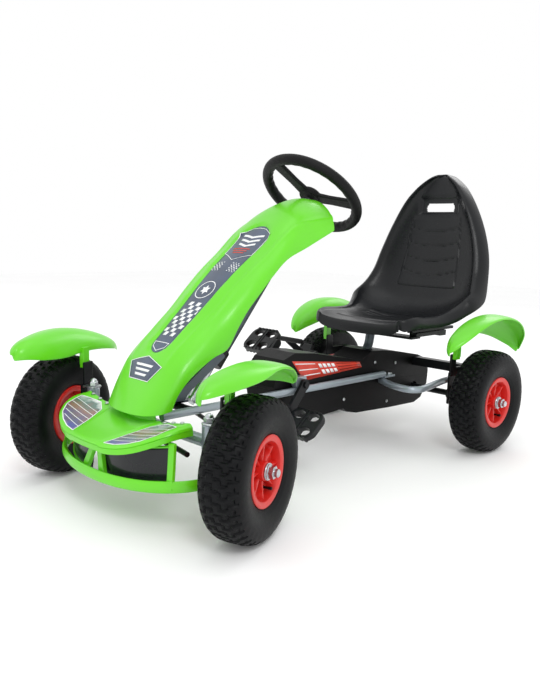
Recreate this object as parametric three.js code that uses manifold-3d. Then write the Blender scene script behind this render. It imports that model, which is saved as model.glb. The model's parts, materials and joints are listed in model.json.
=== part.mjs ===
// Pedal go kart: welded tube frame, steered front wheels, chain drive to the rear axle, bucket seat and plastic fairings.
// Millimetres, +Z up, the kart drives towards -Y and its left-hand side is +X. Heights start at the ground.
// The origin stands on the ground, at the middle of the kart's length and width.
// The kart stands with its front wheels turned left by STEER_REST and its handwheel turned to match.
import * as THREE from "three";
import { mergeVertices } from "three/addons/utils/BufferGeometryUtils.js";
import Module from "manifold-3d";

const wasm = await Module();
wasm.setup();

// ---- Driving dimensions -------------------------------------------------------------------------------------
const GAP = 0.3; // between solids that touch
const ORIGIN_SHIFT = 0.15; // moves the middle of the length to y = 0
const WHEELBASE = 860;
const FRONT_Y = -435;
const REAR_Y = FRONT_Y + WHEELBASE;
const TYRE_R = 130;
const TYRE_W = 85;
const TYRE_FACETS = 32;
const AXLE_Z = TYRE_R * Math.cos(Math.PI / TYRE_FACETS); // the tyre stands on one flat facet
const RIM_R = 63;
const RIM_HALF = 34;
const BEAD_R = 52;
const RIM_FACETS = 16;
const RIM_WINDOWS = 8;
const REAR_WHEEL_X = 266;

const KINGPIN_X = 193;
const WHEEL_OFFSET = 85; // from kingpin to the tyre's middle plane
const STUB_R = 8;
const BOSS_LOW = 150.3;
const BOSS_HIGH = 195.7;
const EAR_T = 4;
const STEERING_ARM = 75;
const STEER_REST = THREE.MathUtils.degToRad(20);

const HANDWHEEL_TURN = THREE.MathUtils.degToRad(45);
const HANDWHEEL_R = 126.5;
const GRIP_R = 12.5;
const HANDWHEEL_CENTRE = new THREE.Vector3(0, 25.5, 625);
const COLUMN_RAKE = THREE.MathUtils.degToRad(51.5); // shaft above horizontal
const COLUMN_R = 17.5;
const SHAFT_R = 8;
const SHAFT_LENGTH = 556;
const PITMAN = 33;

const RAIL_X = 57;
const RAIL_Z = 183;
const RAIL_R = 8.5;
const HOOP_Z = RAIL_Z - 2 * RAIL_R - GAP;
const BEAM_R = 11.2;
const BEAM_Z = RAIL_Z - RAIL_R - BEAM_R - GAP;
const REAR_BEAM = { half: 216, low: 190, high: 213, depth: 26 };
const PLATE_X = 167.5;
const PLATE_T = 5;
const REAR_AXLE_R = 8;
const BRAKE_X = 202.5;
const BRAKE_Y = 258;
const BRAKE_Z = 182;
const BRAKE_PIN_R = 4;
const FENDER_POST_X = 57.7; // inboard face of a fender's post, from the tyre's middle plane
const ARM_X = WHEEL_OFFSET - FENDER_POST_X - GAP - 5; // fender arm on the knuckle, from the kingpin
const FENDER_ARM_X = REAR_WHEEL_X - FENDER_POST_X - GAP - 3;

const CRANK_Y = -56;
const CRANK_Z = 199;
const CRANK_R = 92;
const CRANK_ANGLE = THREE.MathUtils.degToRad(50);
const CRANK_AXLE_R = 7;
const CRANK_ARM_X = 70; // inner face of each arm
const CRANK_ARM_T = 8;
const PEDAL_X = 127;
const PEDAL_W = 92;
const SPINDLE_R = 5.5;

const CHAIN_X = 25;
const CHAIN_W = 6;
const CHAINRING_R = 52.7; // 26 teeth of half-inch pitch
const SPROCKET_R = 28.5; // 14 teeth
const CHAIN_T = 6;
const CASE_HALF = 47;
const CASE_WALL = 2.5;

const FENDER_T = 3.5;
const SHELL_T = 4;
const SEAT_T = 6;

// ---- Materials ----------------------------------------------------------------------------------------------
const paint = (color, roughness, metalness) => new THREE.MeshStandardMaterial({ color, roughness, metalness });
const GREEN = paint(0x7ae22a, 0.35, 0);
const SEAT_BLACK = paint(0x17181a, 0.5, 0);
const CASE_BLACK = paint(0x111112, 0.4, 0);
const FRAME_GREY = paint(0x8d969c, 0.35, 0.6);
const DARK_STEEL = paint(0x2a2c2e, 0.45, 0.5);
const ZINC = paint(0xc9ccce, 0.3, 0.9);
const TYRE_RUBBER = paint(0x16181a, 0.8, 0);
const RIM_RED = paint(0xd8281e, 0.4, 0);
const GRIP_BLACK = paint(0x101011, 0.7, 0);
const SMOKE = paint(0x1c1d1f, 0.2, 0);

const X = new THREE.Vector3(1, 0, 0);
const Y = new THREE.Vector3(0, 1, 0);
const Z = new THREE.Vector3(0, 0, 1);
const SHAFT_AXIS = new THREE.Vector3(0, Math.cos(COLUMN_RAKE), Math.sin(COLUMN_RAKE));

// ---- Geometry helpers ---------------------------------------------------------------------------------------
const at = (geometry, x, y, z) => geometry.translate(x, y, z);

const box = (x0, x1, y0, y1, z0, z1) =>
  at(new THREE.BoxGeometry(x1 - x0, y1 - y0, z1 - z0), (x0 + x1) / 2, (y0 + y1) / 2, (z0 + z1) / 2);

// A cylinder whose axis runs from point a to point b.
function rod(a, b, radius, sides = 16) {
  const along = new THREE.Vector3().subVectors(b, a);
  const geometry = new THREE.CylinderGeometry(radius, radius, along.length(), sides);
  geometry.rotateY(Math.PI / sides);
  geometry.applyQuaternion(new THREE.Quaternion().setFromUnitVectors(Y, along.clone().normalize()));
  return geometry.translate((a.x + b.x) / 2, (a.y + b.y) / 2, (a.z + b.z) / 2);
}

const v = (x, y, z) => new THREE.Vector3(x, y, z);
const rodX = (x0, x1, y, z, radius, sides) => rod(v(x0, y, z), v(x1, y, z), radius, sides);
const rodZ = (x, y, z0, z1, radius, sides) => rod(v(x, y, z0), v(x, y, z1), radius, sides);

// A round bar or tube that follows a smooth curve through the points.
function bentTube(points, radius, steps, sides = 12, tension = 0.5) {
  const curve = new THREE.CatmullRomCurve3(points, false, "centripetal", tension);
  const section = new THREE.Shape();
  for (let i = 0; i < sides; i += 1) {
    const angle = (2 * Math.PI * i) / sides;
    section[i ? "lineTo" : "moveTo"](radius * Math.cos(angle), radius * Math.sin(angle));
  }
  section.closePath();
  return new THREE.ExtrudeGeometry(section, { steps, extrudePath: curve, bevelEnabled: false });
}

// A closed ring turned about the X axis from a profile of [axial, radius] points, taken anticlockwise.
function turnedX(profile, segments) {
  const outline = profile.map(([axial, radius]) => new THREE.Vector2(radius, axial));
  const points = THREE.ShapeUtils.isClockWise(outline) ? outline.reverse() : outline;
  points.push(points[0]);
  const geometry = new THREE.LatheGeometry(points, segments, Math.PI / segments);
  return geometry.rotateZ(-Math.PI / 2);
}

// A flat outline of [y, z] points, made thick from x0 to x1.
function slabX(outline, x0, x1) {
  const shape = new THREE.Shape(outline.map(([y, z]) => new THREE.Vector2(y, z)));
  const geometry = new THREE.ExtrudeGeometry(shape, { depth: x1 - x0, bevelEnabled: false });
  geometry.applyMatrix4(new THREE.Matrix4().makeBasis(Y, Z, X));
  return geometry.translate(x0, 0, 0);
}

// A flat outline of [x, y] points, made thick from z0 to z1.
function slabZ(outline, z0, z1) {
  const shape = new THREE.Shape(outline.map(([x, y]) => new THREE.Vector2(x, y)));
  const geometry = new THREE.ExtrudeGeometry(shape, { depth: z1 - z0, bevelEnabled: false });
  return geometry.translate(0, 0, z0);
}

// A curved panel of even thickness. surface(u, w) gives the middle of the sheet for u in 0..1 and w in -1..1.
function panel(surface, rows, columns, thickness) {
  const point = (i, j) => surface(i / rows, (2 * j) / columns - 1);
  const grid = [];
  for (let i = 0; i <= rows; i += 1) {
    for (let j = 0; j <= columns; j += 1) {
      const along = point(Math.min(i + 1, rows), j).sub(point(Math.max(i - 1, 0), j));
      const across = point(i, Math.min(j + 1, columns)).sub(point(i, Math.max(j - 1, 0)));
      const normal = across.cross(along).normalize().multiplyScalar(thickness / 2);
      grid.push([point(i, j).add(normal), point(i, j).sub(normal)]);
    }
  }
  const count = grid.length;
  const positions = [...grid.map((pair) => pair[0]), ...grid.map((pair) => pair[1])].flatMap((p) => p.toArray());
  const id = (i, j) => i * (columns + 1) + j;
  const index = [];
  const quad = (a, b, c, d) => index.push(a, b, c, a, c, d);
  for (let i = 0; i < rows; i += 1) {
    for (let j = 0; j < columns; j += 1) {
      quad(id(i, j), id(i, j + 1), id(i + 1, j + 1), id(i + 1, j));
      quad(count + id(i, j), count + id(i + 1, j), count + id(i + 1, j + 1), count + id(i, j + 1));
    }
    quad(id(i, 0), id(i + 1, 0), count + id(i + 1, 0), count + id(i, 0));
    quad(id(i + 1, columns), id(i, columns), count + id(i, columns), count + id(i + 1, columns));
  }
  for (let j = 0; j < columns; j += 1) {
    quad(id(0, j + 1), id(0, j), count + id(0, j), count + id(0, j + 1));
    quad(id(rows, j), id(rows, j + 1), count + id(rows, j + 1), count + id(rows, j));
  }
  const geometry = new THREE.BufferGeometry();
  geometry.setAttribute("position", new THREE.Float32BufferAttribute(positions, 3));
  geometry.setIndex(index);
  return geometry;
}

// Swaps left and right and keeps the faces pointing out.
function mirrored(geometry) {
  const copy = bare(geometry).scale(-1, 1, 1);
  const index = copy.index.array;
  for (let i = 0; i < index.length; i += 3) {
    [index[i], index[i + 1]] = [index[i + 1], index[i]];
  }
  return copy;
}

// Positions only, with shared vertices merged.
function bare(geometry) {
  const copy = geometry.clone();
  copy.deleteAttribute("normal");
  copy.deleteAttribute("uv");
  return mergeVertices(copy, 1e-4);
}

function solid(geometry) {
  const clean = bare(geometry);
  const mesh = new wasm.Mesh({
    numProp: 3,
    vertProperties: new Float32Array(clean.attributes.position.array),
    triVerts: new Uint32Array(clean.index.array),
  });
  mesh.merge();
  return new wasm.Manifold(mesh);
}

function surfaceOf(manifold) {
  const mesh = manifold.getMesh();
  const geometry = new THREE.BufferGeometry();
  geometry.setAttribute("position", new THREE.BufferAttribute(new Float32Array(mesh.vertProperties), 3));
  geometry.setIndex(new THREE.BufferAttribute(new Uint32Array(mesh.triVerts), 1));
  return geometry;
}

// Joins the solids in `add` and cuts the solids in `cut` from them.
function shaped(add, cut = []) {
  let result = solid(add[0]);
  for (const piece of add.slice(1)) result = result.add(solid(piece));
  for (const piece of cut) result = result.subtract(solid(piece));
  return surfaceOf(result);
}

// A smooth value through evenly spaced numbers, for t in 0..1.
function through(values, t) {
  const last = values.length - 1;
  const position = Math.min(Math.max(t, 0), 1) * last;
  const i = Math.min(Math.floor(position), last - 1);
  const s = position - i;
  const p = [values[Math.max(i - 1, 0)], values[i], values[i + 1], values[Math.min(i + 2, last)]];
  const m1 = (p[2] - p[0]) / 2;
  const m2 = (p[3] - p[1]) / 2;
  return (
    (2 * s ** 3 - 3 * s ** 2 + 1) * p[1] +
    (s ** 3 - 2 * s ** 2 + s) * m1 +
    (3 * s ** 2 - 2 * s ** 3) * p[2] +
    (s ** 3 - s ** 2) * m2
  );
}

// A point on the steering shaft's line, `down` millimetres below the handwheel's centre.
const onShaft = (down) => HANDWHEEL_CENTRE.clone().addScaledVector(SHAFT_AXIS, -down);

// Turns a geometry modelled about +Z at the origin into the handwheel's tilted frame, where +Y points down the rim.
function tilted(geometry, turn = 0) {
  geometry.rotateZ(turn);
  geometry.rotateX(COLUMN_RAKE - Math.PI / 2);
  return geometry.translate(...HANDWHEEL_CENTRE.toArray());
}

const root = new THREE.Group();
const kart = new THREE.Group();
kart.position.y = ORIGIN_SHIFT;
root.add(kart);

function add(name, geometry, material, parent = kart) {
  const mesh = new THREE.Mesh(geometry, material);
  mesh.name = name;
  parent.add(mesh);
  return mesh;
}

const SIDES = [
  ["left", 1],
  ["right", -1],
];

// ---- Frame --------------------------------------------------------------------------------------------------
const HOOP_HALF = [
  v(42, 270, HOOP_Z),
  v(87, 245, HOOP_Z),
  v(130, 229, HOOP_Z),
  v(166, 229, HOOP_Z),
  v(180, 253, HOOP_Z),
  v(175, 296, HOOP_Z),
  v(164, 351, HOOP_Z),
  v(156, 403, HOOP_Z),
  v(155, 451, HOOP_Z),
];
const hoopPath = [...HOOP_HALF.map((p) => v(-p.x, p.y, p.z)).reverse(), v(0, 277, HOOP_Z), ...HOOP_HALF];
const hoop = (radius) => bentTube(hoopPath, radius, 30, 8);

function frame() {
  for (const [side, s] of SIDES) {
    const x = s * RAIL_X;
    const front = FRONT_Y - 4;
    const tube = rod(v(x, front, RAIL_Z), v(x, 268, RAIL_Z), RAIL_R, 12);
    const tab = box(x - 10, x + 10, 262, 304, RAIL_Z - RAIL_R, RAIL_Z - RAIL_R + 5);
    add(`frame_rail_${side}`, shaped([tube, tab]), FRAME_GREY);

    const boss = rodZ(s * KINGPIN_X, FRONT_Y, BOSS_LOW, BOSS_HIGH, 13, 16);
    const arm = rodX(s * 2, s * (KINGPIN_X - 4), FRONT_Y, BEAM_Z, BEAM_R, 14);
    const bore = rodZ(s * KINGPIN_X, FRONT_Y, BOSS_LOW - 5, BOSS_HIGH + 5, 6 + GAP, 16);
    add(`front_beam_${side}`, shaped([boss, arm], [bore]), FRAME_GREY);

    const plate = box(s * PLATE_X - PLATE_T / 2, s * PLATE_X + PLATE_T / 2, REAR_Y - 24, REAR_Y + 24, 104, 189.7);
    add(`axle_plate_${side}`, shaped([plate], [rodX(-240, 240, REAR_Y, AXLE_Z, 15.3, 20)]), DARK_STEEL);
  }
  const lug = box(-197, -183, BRAKE_Y - 8, BRAKE_Y + 8, HOOP_Z - 5, BRAKE_Z + 9);
  const lugBore = rodX(-210, -170, BRAKE_Y, BRAKE_Z, BRAKE_PIN_R + 2 * GAP, 12);
  add("rear_hoop", shaped([hoop(RAIL_R), lug], [lugBore]), FRAME_GREY);
  const beam = [box(-REAR_BEAM.half, REAR_BEAM.half, REAR_Y - 13, REAR_Y + 13, REAR_BEAM.low, REAR_BEAM.high)];
  for (const [, s] of SIDES) {
    const x = s * FENDER_ARM_X;
    const postY = REAR_Y + REAR_FENDER.postY;
    beam.push(box(x - 3, x + 3, postY - 12, REAR_Y, REAR_BEAM.low, REAR_BEAM.high));
    beam.push(box(x - 3, x + 3, postY - 12, postY + 12, REAR_BEAM.low, 248));
  }
  add("rear_beam", shaped(beam), DARK_STEEL);
  const inner = RAIL_X - RAIL_R - GAP;
  add("front_cross_tube", rodX(-inner, inner, -364, RAIL_Z, 8, 12), DARK_STEEL);
}

// Hand brake: a lever on the hoop's right corner whose shoe stands just clear of the rear tyre.
function brake() {
  const blade = [
    [250, 174],
    [264, 172],
    [303, 194],
    [296, 206],
    [262, 198],
    [178, 256],
    [166, 244],
    [244, 188],
  ];
  const shoe = [
    [301.5, 188.4],
    [317.3, 213.9],
    [307.1, 220.3],
    [291.3, 194.8],
  ];
  const parts = [
    slabX(blade, -BRAKE_X - 2.5, -BRAKE_X + 2.5),
    rodX(-BRAKE_X - 4, -158, 172, 250, 7, 12),
    rodX(-232, -BRAKE_X, 298, 200, 5, 10),
    slabX(shoe, -262, -228),
    rodX(-BRAKE_X, -181, BRAKE_Y, BRAKE_Z, BRAKE_PIN_R, 10),
  ];
  add("brake_lever", shaped(parts), DARK_STEEL);
}

// ---- Steering -----------------------------------------------------------------------------------------------
function steering() {
  const bearing = rod(onShaft(432), onShaft(470), 21, 20);
  const cheekOutline = [
    [-383, 191.3],
    [-345, 191.3],
    [-345, 200],
    [-230, 268],
    [-260, 292],
    [-383, 208],
  ];
  const foot = box(-21, 21, -383, -345, 191.3, 196.3);
  const cheeks = [slabX(cheekOutline, 16, 21), slabX(cheekOutline, -21, -16)];
  const bore = rod(onShaft(400), onShaft(500), SHAFT_R + GAP, 20);
  add("column_foot_bracket", shaped([bearing, foot, ...cheeks], [bore]), DARK_STEEL);

  const column = rod(onShaft(22), onShaft(432 - GAP), COLUMN_R, 20);
  add("steering_column", shaped([column], [rod(onShaft(0), onShaft(460), SHAFT_R + GAP, 20)]), DARK_STEEL);

  const end = onShaft(SHAFT_LENGTH);
  const shaft = rod(onShaft(8), onShaft(SHAFT_LENGTH + 4), SHAFT_R, 16);
  const hub = rod(onShaft(SHAFT_LENGTH - 3), onShaft(SHAFT_LENGTH + 3), 12, 16);
  const arm = box(-7, 7, 0, PITMAN, -2.5, 2.5);
  const eye = rodZ(0, PITMAN, -2.5, 2.5, 8, 12);
  const pin = rodZ(0, PITMAN, 0, 8, 3, 8);
  const place = (geometry) => {
    tilted(geometry, HANDWHEEL_TURN);
    return geometry.translate(...end.clone().sub(HANDWHEEL_CENTRE).toArray());
  };
  add("steering_shaft", shaped([shaft, hub, place(arm), place(eye), place(pin)]), ZINC);

  const ringProfile = [];
  for (let i = 0; i < 8; i += 1) {
    const a = (2 * Math.PI * (i + 0.5)) / 8;
    ringProfile.push(new THREE.Vector2(HANDWHEEL_R - GRIP_R + GRIP_R * Math.cos(a), GRIP_R * Math.sin(a)));
  }
  ringProfile.push(ringProfile[0]);
  const ring = new THREE.LatheGeometry(ringProfile, 28).rotateX(Math.PI / 2);
  const spokes = [90, 210, 330].map((degrees) => {
    const spoke = box(18, HANDWHEEL_R - GRIP_R, -10.5, 10.5, -9, -1);
    return spoke.rotateZ(THREE.MathUtils.degToRad(degrees));
  });
  const hubBody = rodZ(0, 0, -12, 4, 27, 24);
  const shaftHole = rodZ(0, 0, -20, -7.7, SHAFT_R + GAP, 16);
  const handwheel = shaped([ring, hubBody, ...spokes], [shaftHole]);
  add("steering_wheel", tilted(handwheel, HANDWHEEL_TURN), GRIP_BLACK);

  const cap = [
    [-21, -9],
    [21, -9],
    [21, 9],
    [-21, 9],
  ];
  add("hub_cap", tilted(slabZ(cap, 4 + GAP, 10), HANDWHEEL_TURN), GRIP_BLACK);
}

// Front corner, modelled about the kingpin: x' outboard, y' to the rear. Each side turns about its kingpin.
function frontCorner(side, s) {
  const group = new THREE.Group();
  group.position.set(s * KINGPIN_X, FRONT_Y, 0);
  group.rotation.z = STEER_REST;
  kart.add(group);
  const place = (name, geometry, material) => add(name, s > 0 ? geometry : mirrored(geometry), material, group);

  const lowEar = BOSS_LOW - GAP - EAR_T;
  const highEar = BOSS_HIGH + GAP;
  const arm = [
    [-12, -5],
    [-5, -12],
    [25, -12],
    [25, 12],
    [11, 16],
    [9, STEERING_ARM + 8],
    [-9, STEERING_ARM + 8],
    [-12, 16],
  ];
  const fenderArm = [
    [-12, -5],
    [-5, -12],
    [25, -12],
    [ARM_X + 5, -2],
    [ARM_X + 5, 26],
    [-12, 12],
  ];
  const body = [
    slabZ(arm, lowEar, lowEar + EAR_T),
    slabZ(fenderArm, highEar, highEar + EAR_T),
    box(20, 25, -12, 12, 116, highEar + EAR_T),
    box(ARM_X, ARM_X + 5, -2, 26, highEar, 248),
    rodX(20, WHEEL_OFFSET + 46, 0, AXLE_Z, STUB_R, 14),
    rodX(25, WHEEL_OFFSET - RIM_HALF - GAP, 0, AXLE_Z, 13, 12),
  ];
  const bore = rodZ(0, 0, lowEar - 5, highEar + EAR_T + 5, 6 + GAP, 12);
  place(`knuckle_${side}`, shaped(body, [bore]), ZINC);

  const bolt = [
    rodZ(0, 0, lowEar - 7, highEar + EAR_T + 12, 6, 12),
    rodZ(0, 0, lowEar - 8, lowEar - GAP, 10, 6),
    rodZ(0, 0, highEar + EAR_T + GAP, highEar + EAR_T + 9, 10, 6),
    at(new THREE.SphereGeometry(7.5, 10, 6).rotateX(Math.PI / 2), 0, 0, highEar + EAR_T + 10),
  ];
  place(`kingpin_bolt_${side}`, shaped(bolt), ZINC);

  place(`front_tyre_${side}`, at(tyre(), WHEEL_OFFSET, 0, AXLE_Z), TYRE_RUBBER);
  place(`front_rim_${side}`, at(rim(STUB_R), WHEEL_OFFSET, 0, AXLE_Z), RIM_RED);
  place(`front_nut_${side}`, at(axleNut(STUB_R), WHEEL_OFFSET + 46, 0, AXLE_Z), ZINC);
  place(`front_fender_${side}`, at(fender(FRONT_FENDER), WHEEL_OFFSET, 0, AXLE_Z), GREEN);
}

// Tie rods run from the steering arm's end to just below the pitman arm, one each side of its pin.
function tieRods() {
  const ballZ = BOSS_LOW - GAP + 8.3;
  const end = onShaft(SHAFT_LENGTH);
  const shift = -STEERING_ARM * Math.sin(STEER_REST);
  const drop = SHAFT_AXIS.clone().multiplyScalar(-14);
  for (const [side, s] of SIDES) {
    const outer = v(s * KINGPIN_X + shift, FRONT_Y + STEERING_ARM * Math.cos(STEER_REST), ballZ);
    const tip = end.clone().add(drop).add(v(shift + s * 9, 18, -14.5));
    const parts = [
      at(new THREE.SphereGeometry(8, 10, 6), ...outer.toArray()),
      rod(outer, tip, 5, 10),
      at(new THREE.SphereGeometry(7, 10, 6), ...tip.toArray()),
    ];
    add(`tie_rod_${side}`, shaped(parts), DARK_STEEL);
  }
}

// ---- Wheels -------------------------------------------------------------------------------------------------
function tyre() {
  const half = [
    [29.6, BEAD_R + 1.2],
    [29.6, RIM_R + 1.2],
    [TYRE_W / 2, 94],
    [37, 119],
    [21, TYRE_R],
  ];
  const profile = [...half, ...half.map(([axial, radius]) => [-axial, radius]).reverse()];
  return turnedX(profile, TYRE_FACETS);
}

// Moulded wheel: barrel with two bead flanges, a dished web with windows, a hub and the valve stem.
function rim(axleRadius) {
  const section = [
    [RIM_HALF, RIM_R],
    [29.9, RIM_R],
    [29.9, BEAD_R],
    [-29.9, BEAD_R],
    [-29.9, RIM_R],
    [-RIM_HALF, RIM_R],
    [-RIM_HALF, BEAD_R - 4],
    [8, BEAD_R - 4],
    [12, 17],
    [-RIM_HALF, 17],
    [-RIM_HALF, axleRadius + GAP],
    [32, axleRadius + GAP],
    [32, 17],
    [20, 17],
    [13, BEAD_R - 4],
    [RIM_HALF, BEAD_R - 4],
  ];
  const windows = [];
  for (let i = 0; i < RIM_WINDOWS; i += 1) {
    const opening = slabX(
      [
        [-3.5, 23],
        [3.5, 23],
        [10, 43],
        [-10, 43],
      ],
      0,
      30,
    );
    windows.push(opening.rotateX((2 * Math.PI * i) / RIM_WINDOWS));
  }
  const stem = rodX(8, 27, 0, 0, 3, 6).translate(0, 0, 44).rotateX(THREE.MathUtils.degToRad(157.5));
  return shaped([turnedX(section, RIM_FACETS), stem], windows);
}

// Washer and capped nut on the end of an axle; x = 0 is the axle's end.
function axleNut(axleRadius) {
  const washer = rodX(GAP - 13.5, -11.5, 0, 0, 14, 16);
  const nut = rodX(-12, 3, 0, 0, 11, 6);
  const end = rodX(2, 8, 0, 0, axleRadius - 1, 8);
  return shaped([washer, nut, end], [rodX(-40, GAP, 0, 0, axleRadius + GAP, 16)]);
}

// An arched strip over the tyre with a flank that hangs down inboard, rounded at both ends, and its mounting post.
// Lists run from the front end to the rear end. Lengths are measured from the tyre's middle plane and the axle.
const FRONT_FENDER = {
  radius: 399,
  centreY: -25,
  centreZ: -211,
  from: THREE.MathUtils.degToRad(-20.3),
  to: THREE.MathUtils.degToRad(32.6),
  innerEdge: [-30, -46, -50, -50, -48, -40, -12],
  outerEdge: [-10, 22, 38, 40, 38, 24, 0],
  flank: [8, 46, 54, 47, 38, 26, 4],
  lip: [5, 24, 22, 11, 9, 13, 5],
  postY: 12,
  postTop: 152,
};
const REAR_FENDER = {
  radius: 241.5,
  centreY: -8,
  centreZ: -22,
  from: THREE.MathUtils.degToRad(-47),
  to: THREE.MathUtils.degToRad(54),
  innerEdge: [-30, -44, -50, -50, -50, -42, -22],
  outerEdge: [4, 26, 36, 39, 38, 24, -4],
  flank: [14, 34, 48, 52, 48, 34, 10],
  lip: [8, 8, 8, 8, 8, 8, 8],
  postY: -71,
  postTop: 180,
};

function fender(shape) {
  const surface = (u, w) => {
    const angle = shape.from + (shape.to - shape.from) * u;
    const a = (Math.PI / 2) * w;
    const inner = through(shape.innerEdge, u);
    const outer = through(shape.outerEdge, u);
    const offset = (inner + outer) / 2 + ((outer - inner) / 2) * Math.sin(a);
    const drop = through(w < 0 ? shape.flank : shape.lip, u) * (1 - Math.cos(a));
    const r = shape.radius - drop;
    return v(offset, shape.centreY + r * Math.sin(angle), shape.centreZ + r * Math.cos(angle));
  };
  const strip = panel(surface, 10, 6, FENDER_T);
  const post = box(-FENDER_POST_X, -47, shape.postY - 10, shape.postY + 10, 106, shape.postTop);
  return shaped([strip, post]);
}

function rearWheels() {
  const place = { left: 1, right: -1 };
  for (const [side, s] of Object.entries(place)) {
    const put = (name, geometry, material) => {
      const mesh = add(name, s > 0 ? geometry : mirrored(geometry), material);
      mesh.position.set(s * REAR_WHEEL_X, REAR_Y, AXLE_Z);
    };
    put(`rear_tyre_${side}`, tyre(), TYRE_RUBBER);
    put(`rear_rim_${side}`, rim(REAR_AXLE_R), RIM_RED);
    put(`rear_nut_${side}`, at(axleNut(REAR_AXLE_R), 46, 0, 0), ZINC);
    put(`rear_fender_${side}`, fender(REAR_FENDER), GREEN);

    const flange = rodX(s * (PLATE_X - PLATE_T / 2 - 8), s * (PLATE_X + PLATE_T / 2 + 8), REAR_Y, AXLE_Z, 15, 20);
    const collar = rodX(s * (PLATE_X + PLATE_T / 2 + GAP), s * (PLATE_X + PLATE_T / 2 + 8), REAR_Y, AXLE_Z, 22, 20);
    const bore = rodX(-240, 240, REAR_Y, AXLE_Z, REAR_AXLE_R + GAP, 16);
    add(`axle_bearing_${side}`, shaped([flange, collar], [bore]), DARK_STEEL);
  }
}

// ---- Drive --------------------------------------------------------------------------------------------------
const disc = (x0, x1, y, z, radius, bore, sides = 24) =>
  shaped([rodX(x0, x1, y, z, radius, sides)], [rodX(x0 - 5, x1 + 5, y, z, bore, 16)]);

// The loop outline round the two chain wheels, each grown by `grow`.
function chainLoop(grow) {
  const big = CHAINRING_R + grow;
  const small = SPROCKET_R + grow;
  const dy = REAR_Y - CRANK_Y;
  const dz = AXLE_Z - CRANK_Z;
  const span = Math.hypot(dy, dz);
  const heading = Math.atan2(dz, dy);
  const wrap = Math.acos((big - small) / span);
  const outline = [];
  const arc = (cy, cz, radius, from, to, count) => {
    for (let i = 0; i <= count; i += 1) {
      const angle = from + ((to - from) * i) / count;
      outline.push([cy + radius * Math.cos(angle), cz + radius * Math.sin(angle)]);
    }
  };
  arc(REAR_Y, AXLE_Z, small, heading - wrap, heading + wrap, 9);
  arc(CRANK_Y, CRANK_Z, big, heading + wrap, heading - wrap + 2 * Math.PI, 14);
  return outline;
}

function drive() {
  const x0 = CHAIN_X - CHAIN_W / 2;
  const x1 = CHAIN_X + CHAIN_W / 2;
  const end = REAR_WHEEL_X + 46;
  add("rear_axle", rodX(-end, end, REAR_Y, AXLE_Z, REAR_AXLE_R, 16), DARK_STEEL);
  add("axle_sprocket", disc(x0 + 1, x1 - 1, REAR_Y, AXLE_Z, SPROCKET_R, REAR_AXLE_R + GAP), ZINC);
  add("chainring", disc(x0 + 1, x1 - 1, CRANK_Y, CRANK_Z, CHAINRING_R, CRANK_AXLE_R + GAP), ZINC);
  const chain = shaped(
    [slabX(chainLoop(GAP * 2 + CHAIN_T), x0, x1)],
    [slabX(chainLoop(GAP * 2), x0 - 5, x1 + 5)],
  );
  add("chain", chain, DARK_STEEL);

  for (const [side, s] of SIDES) {
    const block = box(
      s * RAIL_X - 8, s * RAIL_X + 8, CRANK_Y - 17, CRANK_Y + 17, RAIL_Z + RAIL_R + GAP, CRANK_Z + 17);
    const bore = rodX(-90, 90, CRANK_Y, CRANK_Z, CRANK_AXLE_R + GAP, 16);
    add(`crank_bearing_${side}`, shaped([block], [bore]), FRAME_GREY);
  }

  const axle = rodX(-CRANK_ARM_X - 4, CRANK_ARM_X + 4, CRANK_Y, CRANK_Z, CRANK_AXLE_R, 16);
  const parts = [axle];
  for (const [side, s] of SIDES) {
    const angle = s > 0 ? CRANK_ANGLE + Math.PI : CRANK_ANGLE;
    const y = CRANK_Y + CRANK_R * Math.cos(angle);
    const z = CRANK_Z + CRANK_R * Math.sin(angle);
    const near = s * CRANK_ARM_X;
    const far = s * (CRANK_ARM_X + CRANK_ARM_T);
    const bar = box(Math.min(near, far), Math.max(near, far), 0, CRANK_R, -8, 8);
    parts.push(bar.rotateX(angle).translate(0, CRANK_Y, CRANK_Z));
    parts.push(rodX(near, far, CRANK_Y, CRANK_Z, 13, 12));
    parts.push(rodX(far - s, s * (CRANK_ARM_X + CRANK_ARM_T + 5), CRANK_Y, CRANK_Z, 8, 6));
    parts.push(rodX(near, far, y, z, 10, 12));
    parts.push(rodX(near, s * (PEDAL_X + PEDAL_W / 2 - 6), y, z, SPINDLE_R, 10));
    add(`pedal_${side}`, pedal(s).translate(0, y, z), SEAT_BLACK);
  }
  add("crank", shaped(parts), DARK_STEEL);
}

// A moulded cage pedal round its spindle, tilted so that its tread faces up and forward.
function pedal(s) {
  const width = PEDAL_W / 2;
  const middle = s * PEDAL_X;
  const body = slabZ(
    [
      [-width, -24],
      [-width + 12, -36],
      [width - 12, -36],
      [width, -24],
      [width, 24],
      [width - 12, 36],
      [-width + 12, 36],
      [-width, 24],
    ],
    -12,
    12,
  );
  const windows = [];
  for (const [x, y] of [[-19, -21], [19, -21], [-19, 21], [19, 21]]) {
    windows.push(rodZ(x, y, -20, 20, 9, 12));
  }
  const bore = rodX(-width - 5, width - 5, 0, 0, SPINDLE_R + GAP, 16);
  const geometry = shaped([body], [...windows, bore]);
  const turned = s > 0 ? geometry : mirrored(geometry);
  return turned.rotateX(THREE.MathUtils.degToRad(40)).translate(middle, 0, 0);
}

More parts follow.
